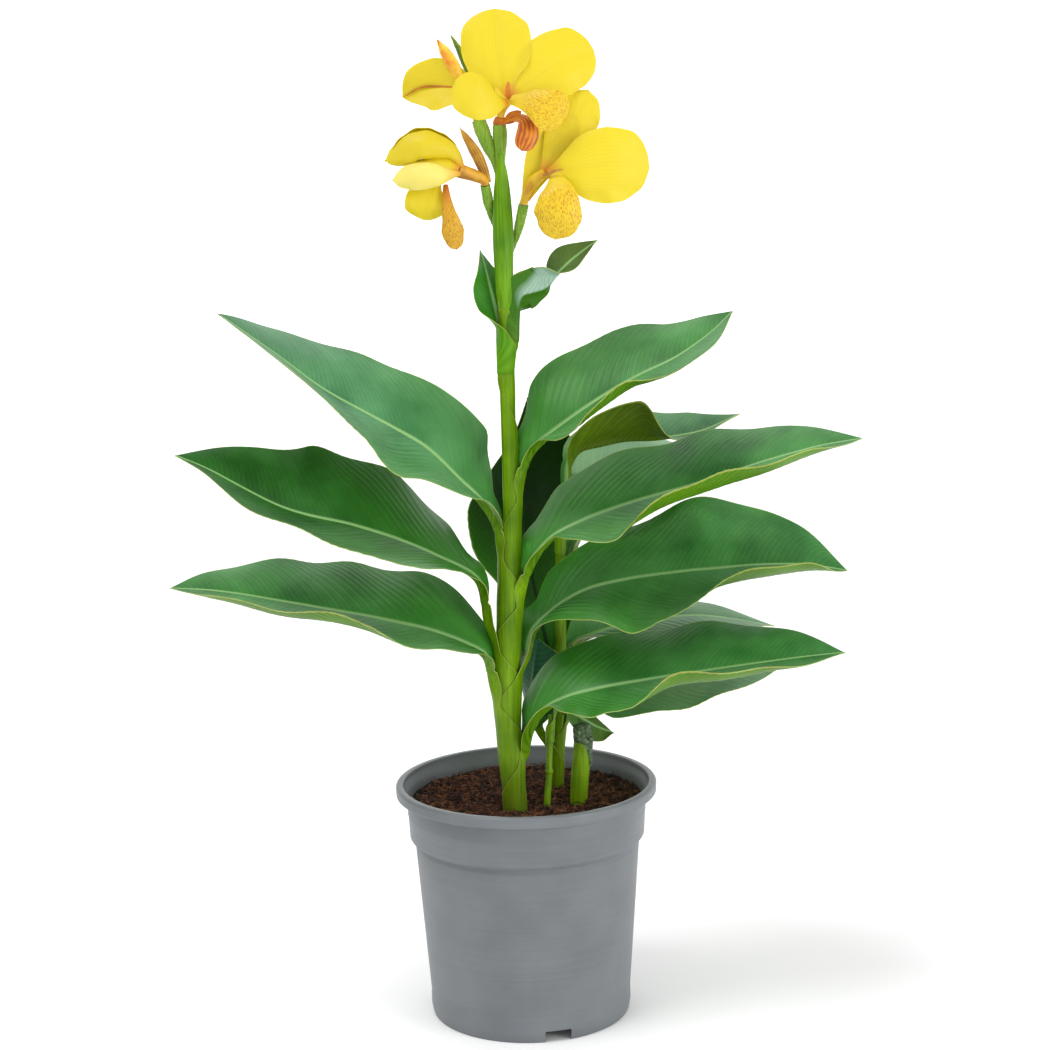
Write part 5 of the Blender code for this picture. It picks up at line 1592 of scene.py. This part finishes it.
    def build(self) -> Piece:
        """Makes the leaf from its sheath to its tip."""
        sheath = self.sheath()
        starts = [sheath[-1 - self.slant_rows][1].middle, sheath[-1][1].middle]
        route = Route([*starts, *(Vector(point) for point in self.plan.rib)])
        stalk_from = route.knots[1]
        blade_from = route.knots[2 + self.plan.blade_from] - self.plan.lead
        self.length = route.length - blade_from
        grip = sheath[-1][1].halves[0][0]
        stalk = []
        for k in range(1, self.stalk_rows):
            mix = k / self.stalk_rows
            place = stalk_from + (blade_from - stalk_from) * mix
            stalk.append((mix - 1.0, self.stalk_station(route.at(place), route.direction(place), mix, grip)))
        phase = len(self.plan.node) + self.plan.rib[0][2]
        blade = []
        for k in range(self.stations + 1):
            share = k / self.stations
            place = blade_from + self.length * share
            direction = route.direction(place)
            flat = Vector((direction.x, direction.y, 0.0)) + self.heading * 0.5
            left = UPRIGHT.cross(flat).normalized()
            swell = self.plan.wave * math.sin(math.pi * share) ** 0.7
            waves = edge_waves(swell, math.tau * self.length / self.wave_length * share + phase)
            blade.append(Station(route.at(place), left, direction.cross(left).normalized(),
                                 self.halves(share), waves))
        tone = self.plan.tone
        finishes = (LeafFace(f"leaf_face_{tone.name.lower()}", tone),
                    LeafUnderside(f"leaf_underside_{tone.name.lower()}", tone), MARGIN)
        rows = max(40, round(self.length / self.ridge * 5))
        sheet = ThinSheet(self.plan.node.replace("leaf", "canna_leaf"), sheath + stalk, blade, self.length,
                          finishes, self.wall, self.relief, rows=rows, half_columns=18)
        return settle(sheet.build(), Slot.LEAF, self.plan.node)


@dataclass
class Foliage:
    """All leaves: nine on the main stem, each sheath inside the one below, and seven on the shoots."""

    on_main: tuple[LeafPlan, ...]
    on_back: tuple[LeafPlan, ...]
    young: LeafPlan
    lowest_foot: float = 150.0
    overlap: float = 40.0
    sheath_gap: float = 8.0
    tight_from: float = 400.0

    def build(self) -> None:
        """Makes the leaves from the lowest sheath up."""
        tops: list[float] = []
        for plan in sorted(self.on_main, key=lambda leaf: leaf.sheath_top):
            foot = max(self.lowest_foot, tops[-1] - self.overlap) if tops else self.lowest_foot
            covering = tuple(top for top in tops if top > foot - self.sheath_gap)
            flare = 0.3 if plan.sheath_top > self.tight_from else 1.3
            CannaLeaf(plan, MAIN_STEM, covering, foot, flare=flare).build()
            tops.append(plan.sheath_top)
        for plan in self.on_back:
            CannaLeaf(plan, BACK_STEM, (), plan.sheath_top - 30.0, slant=14.0, stand_off=0.9,
                      stations=110).build()
        CannaLeaf(self.young, THIN_STEM, (), self.young.sheath_top - 16.0, slant=8.0, stand_off=0.8,
                  blade_wall=0.35, stations=60).build()


@dataclass
class FlowerBract:
    """The green bract that wraps the flower stalk, open at the back."""

    axis: tuple[float, float] = (-6.6, -23.6)
    sections: Keys = ((518.5, 4.3, 4.3, 150), (520, 4.6, 4.6, 145), (532, 5.5, 5.5, 128),
                      (550, 6.3, 6.3, 104), (570, 7.0, 7.0, 78), (592, 6.6, 6.4, 66),
                      (610, 6.0, 4.8, 54), (622, 5.7, 2.4, 34), (628, 5.6, 0.4, 12))
    stations: int = 90

    def build(self) -> Piece:
        """Makes the bract as a thin pointed sheet."""
        blade = []
        low, high = self.sections[0][0], self.sections[-1][0]
        for k in range(self.stations + 1):
            height = low + (high - low) * k / self.stations
            front, radius, wrap = (smooth_value(self.sections, height, column) for column in (1, 2, 3))
            half = (radius * math.radians(wrap), 0.0, wrap)
            middle = Vector((self.axis[0], self.axis[1] - front, height))
            blade.append(Station(middle, Vector((1, 0, 0)), Vector((0, 1, 0)), (half, half)))
        sheet = ThinSheet(
            "flower_bract", [], blade, high - low, (BRACT_SKIN, BRACT_SKIN, MARGIN),
            lambda share, out: 0.4 + 0.5 * math.exp(-((out / 1.5) ** 2)),
            lambda share, side, out, spot: 0.1 * math.sin(side * 34.0) * (1.0 - share),
            rows=self.stations, half_columns=20, spread=1.0, lean=0.0, thickest=1.2)
        return settle(sheet.build(), Slot.BRACT, "bract")


# Flowers

@dataclass(frozen=True)
class PetalPlan:
    """One petal: its rib, the way its upper side faces, its outline and how its halves bend."""

    rib: Keys
    facing: tuple[float, float, float]
    outline: Outline
    width: float
    angle: float
    turn: float
    tissue: Tissue = Tissue.PETAL
    ruffle: float = 1.0


@dataclass(frozen=True)
class BloomPlan:
    """One flower or its outer parts: its tube and its petals."""

    node: str
    tube: Keys
    petals: tuple[PetalPlan, ...]
    slot: Slot = Slot.PETAL
    tube_finish: Finish = TUBE_TISSUE
    buds: tuple[tuple[Keys, Finish], ...] = ()


BLOOMS = (
    BloomPlan(
        "bloom_upper",
        ((-6.3, -25.2, 648.6, 2.6), (-5.8, -26, 651, 2.8), (-4, -29, 655, 3.0), (-1, -34, 659, 3.4),
         (0, -36.5, 660.5, 2.4)),
        (PetalPlan(((-1.5, -36, 661), (-6, -34, 676.5), (-8, -29, 696.5), (-9, -21, 721)),
                   (0, -1, 0.1), Outline.BLUNT, 24.5, 8, -24),
         PetalPlan(((0, -36, 661), (13, -33, 670.5), (32, -28, 683), (58.5, -20, 692)),
                   (0, -1, 0.15), Outline.BLUNT, 23, 8, -24),
         PetalPlan(((-1, -37, 659), (-9.5, -47, 660), (-22, -54, 663), (-37, -56, 671)),
                   (0, -1, 0.25), Outline.BLUNT, 16, 0, -30),
         PetalPlan(((0.5, -37.5, 660), (12.5, -46, 658.5), (24.5, -50, 654), (37, -49, 645)),
                   (-0.1, -1, 0.3), Outline.FAN, 15, 0, -20, Tissue.LIP, 1.5),
         PetalPlan(((-0.5, -38, 659.5), (-0.5, -44, 666), (-0.5, -45, 672)), (0, -1, 0),
                   Outline.LONG, 1.9, 0, 0, Tissue.TEPAL, 0.2),
         PetalPlan(((-2, -38, 660), (-7, -43, 664), (-9, -43, 669)), (0.3, -1, 0), Outline.LONG, 1.8, 0, 0,
                   Tissue.PETAL, 0.2))),
    BloomPlan(
        "bloom_far_left",
        ((-22.4, -24.2, 646.8, 2.8), (-24, -26, 654, 3.2), (-26, -27, 663, 3.6), (-27, -27, 667, 2.4)),
        (PetalPlan(((-25, -27, 665.5), (-40, -24, 670), (-57.5, -20, 670.5), (-73, -18, 663.5)),
                   (0, -1, 0.1), Outline.LONG, 18.5, 14, 10),
         PetalPlan(((-34.5, -25.3, 668.7), (-47, -23.2, 670), (-59.5, -21.3, 669.8), (-72, -19, 663.8)),
                   (0, -1, 0.1), Outline.LONG, 1.3, -20, -60, Tissue.TEPAL, 0.1)),
        buds=((((-31, -27, 671, 1.6), (-34, -26.5, 677, 3.6), (-38.5, -26, 685, 4.6), (-43, -25, 693, 3.7),
                (-46, -24, 698, 1.9), (-48, -24, 701.3, 0.5)), ORANGE_BUD),
              (((-24, -19, 671, 1.2), (-26.5, -18, 676.5, 2.0), (-30, -16, 686.5, 2.7),
                (-34.5, -15, 696.5, 1.9), (-39, -15, 704.5, 0.4)), BUD_TISSUE))),
    BloomPlan(
        "bloom_right",
        ((8.2, -26.3, 590, 2.9), (10, -29, 596, 3.2), (15.5, -34, 605, 4.2), (23, -39, 610.5, 3.0)),
        (PetalPlan(((25, -41, 608.5), (43.5, -45, 612), (68.5, -42, 614.5), (94.5, -34, 612)),
                   (0, -1, 0), Outline.BLUNT, 26, 4, -24),
         PetalPlan(((23, -38, 611), (33.5, -34, 629), (44.5, -29, 646.5), (54, -24, 666)),
                   (0, -1, 0.1), Outline.ROUND, 17, 4, -20, Tissue.PETAL, 2.2),
         PetalPlan(((9.5, -29, 592.5), (18, -32, 612.5), (29, -31, 630), (44, -26, 650)),
                   (0, -1, 0.1), Outline.ROUND, 14.5, 0, 20),
         PetalPlan(((30.5, -43, 611.5), (31.5, -55, 599), (31, -58, 582.5), (29, -53, 565.5)),
                   (0, -1, 0.2), Outline.ROUND, 17, 0, -30, Tissue.LIP, 1.3),
         PetalPlan(((21.5, -45, 609), (27.5, -47.5, 611), (35, -47, 613)), (0, -1, 0.4),
                   Outline.LONG, 1.1, 0, 0, Tissue.GOLD, 0.1))),
    BloomPlan(
        "bloom_left",
        ((-36.4, -36, 613.8, 3.8), (-39, -37, 614.8, 4.6), (-44, -38.5, 615, 7.2),
         (-51, -40, 614, 8.6), (-61, -41, 614, 7.6), (-72, -41, 615, 4.0)),
        (PetalPlan(((-32, -38, 613.5), (-40, -44, 627), (-60, -49, 634), (-85.5, -42, 621)),
                   (0, -1, 0.45), Outline.BLUNT, 13.5, -6, -62, Tissue.PETAL, 1.4),
         PetalPlan(((-35, -35, 614), (-42, -31, 630), (-60, -29, 637), (-83, -36, 622)),
                   (0, 1, 0.45), Outline.BLUNT, 13, -6, -62, Tissue.PETAL, 1.4),
         # This middle petal is painted paler: painted highlight.
         PetalPlan(((-34, -42, 611.5), (-47, -53, 611.5), (-62, -55.5, 611), (-80.5, -47, 608)),
                   (0, -1, 0.1), Outline.BLUNT, 12, -4, -62, Tissue.PALE, 0.8),
         PetalPlan(((-49.5, -39, 608.5), (-55.5, -43, 599.5), (-59, -43, 590), (-61, -38, 580.5)),
                   (0, -1, 0), Outline.BLUNT, 14.5, 4, -20),
         PetalPlan(((-44.5, -43, 604.5), (-43.5, -48, 592), (-41, -50, 577), (-38, -46, 560.5)),
                   (0.1, -1, 0), Outline.FAN, 8.2, 0, -40, Tissue.ORANGE_LIP, 1.3)),
        tube_finish=PETAL),
    BloomPlan(
        "calyx_upper",
        ((-7, -24, 641.6, 3.6), (-6.9, -24.1, 644.6, 4.8), (-6.4, -25, 648.3, 3.6)),
        (PetalPlan(((-6, -27, 645), (2, -33, 648), (10, -37, 647), (12.5, -40, 639.5), (7.5, -41, 625.5)),
                   (0.3, -0.7, 0.6), Outline.FAN, 8.2, 4, -30, Tissue.TEPAL, 0.8),
         PetalPlan(((-5, -27, 645), (1, -31, 648), (8, -34, 652)), (-0.3, -1, 0.2),
                   Outline.LONG, 4.0, 0, -20, Tissue.TEPAL, 0.5)),
        Slot.CALYX, TEPAL),
    BloomPlan(
        "calyx_left",
        ((-18.1, -28.3, 603.5, 2.8), (-18.6, -29.3, 606, 3.4), (-25, -32, 609.6, 4.2),
         (-36, -35.8, 613.4, 5.0)),
        (PetalPlan(((-15.5, -29.5, 604.5), (-23.5, -29, 624), (-34.5, -29, 642.5)),
                   (-0.2, -1, 0.2), Outline.SPIKE, 4.6, 10, -70, Tissue.GOLD, 0.3),),
        Slot.CALYX, TepalTissue("canna_tube_amber", dark="a8701a", light="dfa52a")),
)


@dataclass
class Bloom:
    """A flower of the plan: tube, petals and lip joined in one piece."""

    plan: BloomPlan
    rows: int = 54
    half_columns: int = 17
    stations: int = 80
    wall: float = 0.4
    finishes: dict = field(default_factory=lambda: {
        Tissue.PETAL: PETAL, Tissue.LIP: LIP, Tissue.TEPAL: TEPAL, Tissue.GOLD: GOLD_TEPAL,
        Tissue.PALE: PAINTED_HIGHLIGHT_PETAL, Tissue.ORANGE_LIP: LIP_ORANGE})

    def petal(self, index: int, plan: PetalPlan) -> Piece:
        """Makes one petal.

        Args:
            index: Its number in the flower.
            plan: Its shape.
        Returns:
            The petal.
        """
        route = Route(plan.rib)
        facing = Vector(plan.facing).normalized()
        blade = []
        for k in range(self.stations + 1):
            share = k / self.stations
            direction = route.direction(share * route.length, 1.0)
            left = facing.cross(direction).normalized()
            half = (plan.width * smooth_value(plan.outline.value, share), plan.angle, plan.turn)
            swell = 0.0
            if 0 < k < self.stations:
                swell = min(1.0, plan.width * 0.1) * math.sin(math.pi * share) ** 0.7
            waves = edge_waves(swell, math.tau * 1.6 * share + plan.width)
            blade.append(Station(route.at(share * route.length), left, direction.cross(left).normalized(),
                                 (half, half), waves))
        finish = self.finishes[plan.tissue]

        def relief(share: float, side: float, out: float, spot: Vector) -> float:
            """Soft puckers, stronger to the ruffled edge."""
            edge = eased(abs(side), 0.35, 1.0) * eased(share, 0.1, 0.5)
            fine = plan.ruffle * edge * noise.noise(spot / 9.0 + Vector((index * 5.0, 0, 0)))
            broad = 0.5 * plan.ruffle * noise.noise(spot / 16.0)
            return fine * 1.4 + broad - 0.25 * math.exp(-((out / 2.5) ** 2))

        def wall(share: float, out: float) -> float:
            """Thin, a little thicker at the rib and towards the foot."""
            return self.wall + 0.3 * math.exp(-((out / 2.0) ** 2)) * (1.0 - share)

        sheet = ThinSheet(f"{self.plan.node}_petal_{index}", [], blade, route.length,
                          (finish, finish, finish), wall, relief, rows=self.rows,
                          half_columns=self.half_columns, spread=1.0, lean=0.0, thickest=1.0)
        return sheet.build()

    def build(self) -> Piece:
        """Makes the flower."""
        skin = tube(self.plan.tube, sides=24, step=1.0, lumps=0.15)
        parts = [piece_from(f"{self.plan.node}_tube", skin, (self.plan.tube_finish,))]
        parts += [self.petal(index, petal) for index, petal in enumerate(self.plan.petals)]
        for index, (points, finish) in enumerate(self.plan.buds):
            skin = tube(points, sides=20, step=0.8, lumps=0.2)
            parts.append(piece_from(f"{self.plan.node}_bud_{index}", skin, (finish,)))
        name = self.plan.node.replace("bloom", "canna_bloom").replace("calyx", "canna_calyx")
        return settle(joined(name, parts), self.plan.slot, self.plan.node)


# Studio

@dataclass
class Studio:
    """White paper floor and wall, a broad key lamp, one soft box, a white surround and the camera.

    Its places and sizes are in metres and its angles in degrees.
    """

    floor_size: float = 9.0
    floor_faces: int = 8
    surround: float = 0.76
    key_power: float = 1.35
    key_spread: float = 28.0
    key_ray: tuple[float, float, float] = (0.5, 0.36, -1.2)
    box_at: tuple[float, float, float] = (1.6, -1.2, 0.7)
    box_aim: tuple[float, float, float] = (0.0, 0.0, 0.25)
    box_size: float = 0.9
    box_power: float = 14.0
    film_width: float = 36.0
    far_limit: float = 50.0
    lens: float = 75.43
    camera_at: tuple[float, float, float] = (0.0037, -1.5511, 0.6297)
    pitch: float = 80.19
    roll: float = -1.377

    def floor(self) -> None:
        """Lays the paper floor."""
        bm = bmesh.new()
        bmesh.ops.create_grid(bm, x_segments=self.floor_faces, y_segments=self.floor_faces,
                              size=self.floor_size / 2)
        piece_from("paper_floor", bm, (PAPER,))

    def wall(self) -> None:
        """Stands the paper wall behind, lit from inside like a light panel."""
        bm = bmesh.new()
        bmesh.ops.create_grid(bm, x_segments=self.floor_faces, y_segments=self.floor_faces,
                              size=self.floor_size / 2)
        bmesh.ops.rotate(bm, verts=bm.verts, cent=(0, 0, 0), matrix=Matrix.Rotation(math.radians(90), 3, "X"))
        bmesh.ops.translate(bm, verts=bm.verts, vec=(0, self.floor_size / 2, self.floor_size / 2))
        piece_from("paper_wall", bm, (LIT_PAPER,))

    def key(self) -> None:
        """Hangs the broad key lamp, high to the left and in front."""
        data = bpy.data.lights.new("key_lamp", "SUN")
        data.energy, data.angle = self.key_power, math.radians(self.key_spread)
        lamp = bpy.data.objects.new("key_lamp", data)
        lamp.rotation_euler = Vector(self.key_ray).to_track_quat("-Z", "Y").to_euler()
        bpy.context.scene.collection.objects.link(lamp)

    def soft_box(self) -> None:
        """Hangs the soft box at the right."""
        data = bpy.data.lights.new("side_box", "AREA")
        data.shape, data.size, data.energy = "SQUARE", self.box_size, self.box_power
        lamp = bpy.data.objects.new("side_box", data)
        lamp.location = self.box_at
        ray = Vector(self.box_aim) - Vector(self.box_at)
        lamp.rotation_euler = ray.to_track_quat("-Z", "Y").to_euler()
        bpy.context.scene.collection.objects.link(lamp)

    def camera(self) -> None:
        """Sets the camera at the photograph's angle."""
        data = bpy.data.cameras.new("camera")
        data.lens, data.sensor_width, data.sensor_fit = self.lens, self.film_width, "HORIZONTAL"
        data.clip_end = self.far_limit
        made = bpy.data.objects.new("camera", data)
        tilt = Matrix.Rotation(math.radians(self.pitch), 4, "X")
        roll = Matrix.Rotation(math.radians(self.roll), 4, "Z")
        made.matrix_world = Matrix.Translation(self.camera_at) @ (tilt @ roll)
        bpy.context.scene.collection.objects.link(made)
        bpy.context.scene.camera = made

    def build(self) -> None:
        """Sets up the studio."""
        self.camera()
        self.floor()
        self.wall()
        self.key()
        self.soft_box()
        world = bpy.data.worlds.new("white_surround")
        world.use_nodes = True
        back = world.node_tree.nodes["Background"]
        back.inputs["Color"].default_value = (1.0, 1.0, 1.0, 1.0)
        back.inputs["Strength"].default_value = self.surround
        bpy.context.scene.world = world
        bpy.context.scene.view_settings.view_transform = "Standard"


def main() -> None:
    """Builds the studio, the pot with its soil, and the plant."""
    logging.basicConfig(level=logging.INFO, format="%(message)s")
    Studio().build()
    pot = NurseryPot()
    pot.build()
    PottingSoil(pot).build()
    FloweringStem(MAIN_STEM, STALKS).build()
    SideShoots(BACK_STEM, THIN_STEM, STUMP).build()
    Foliage(MAIN_LEAVES, BACK_LEAVES, YOUNG_LEAF).build()
    FlowerBract().build()
    for plan in BLOOMS:
        Bloom(plan).build()


if __name__ == "__main__":
    main()
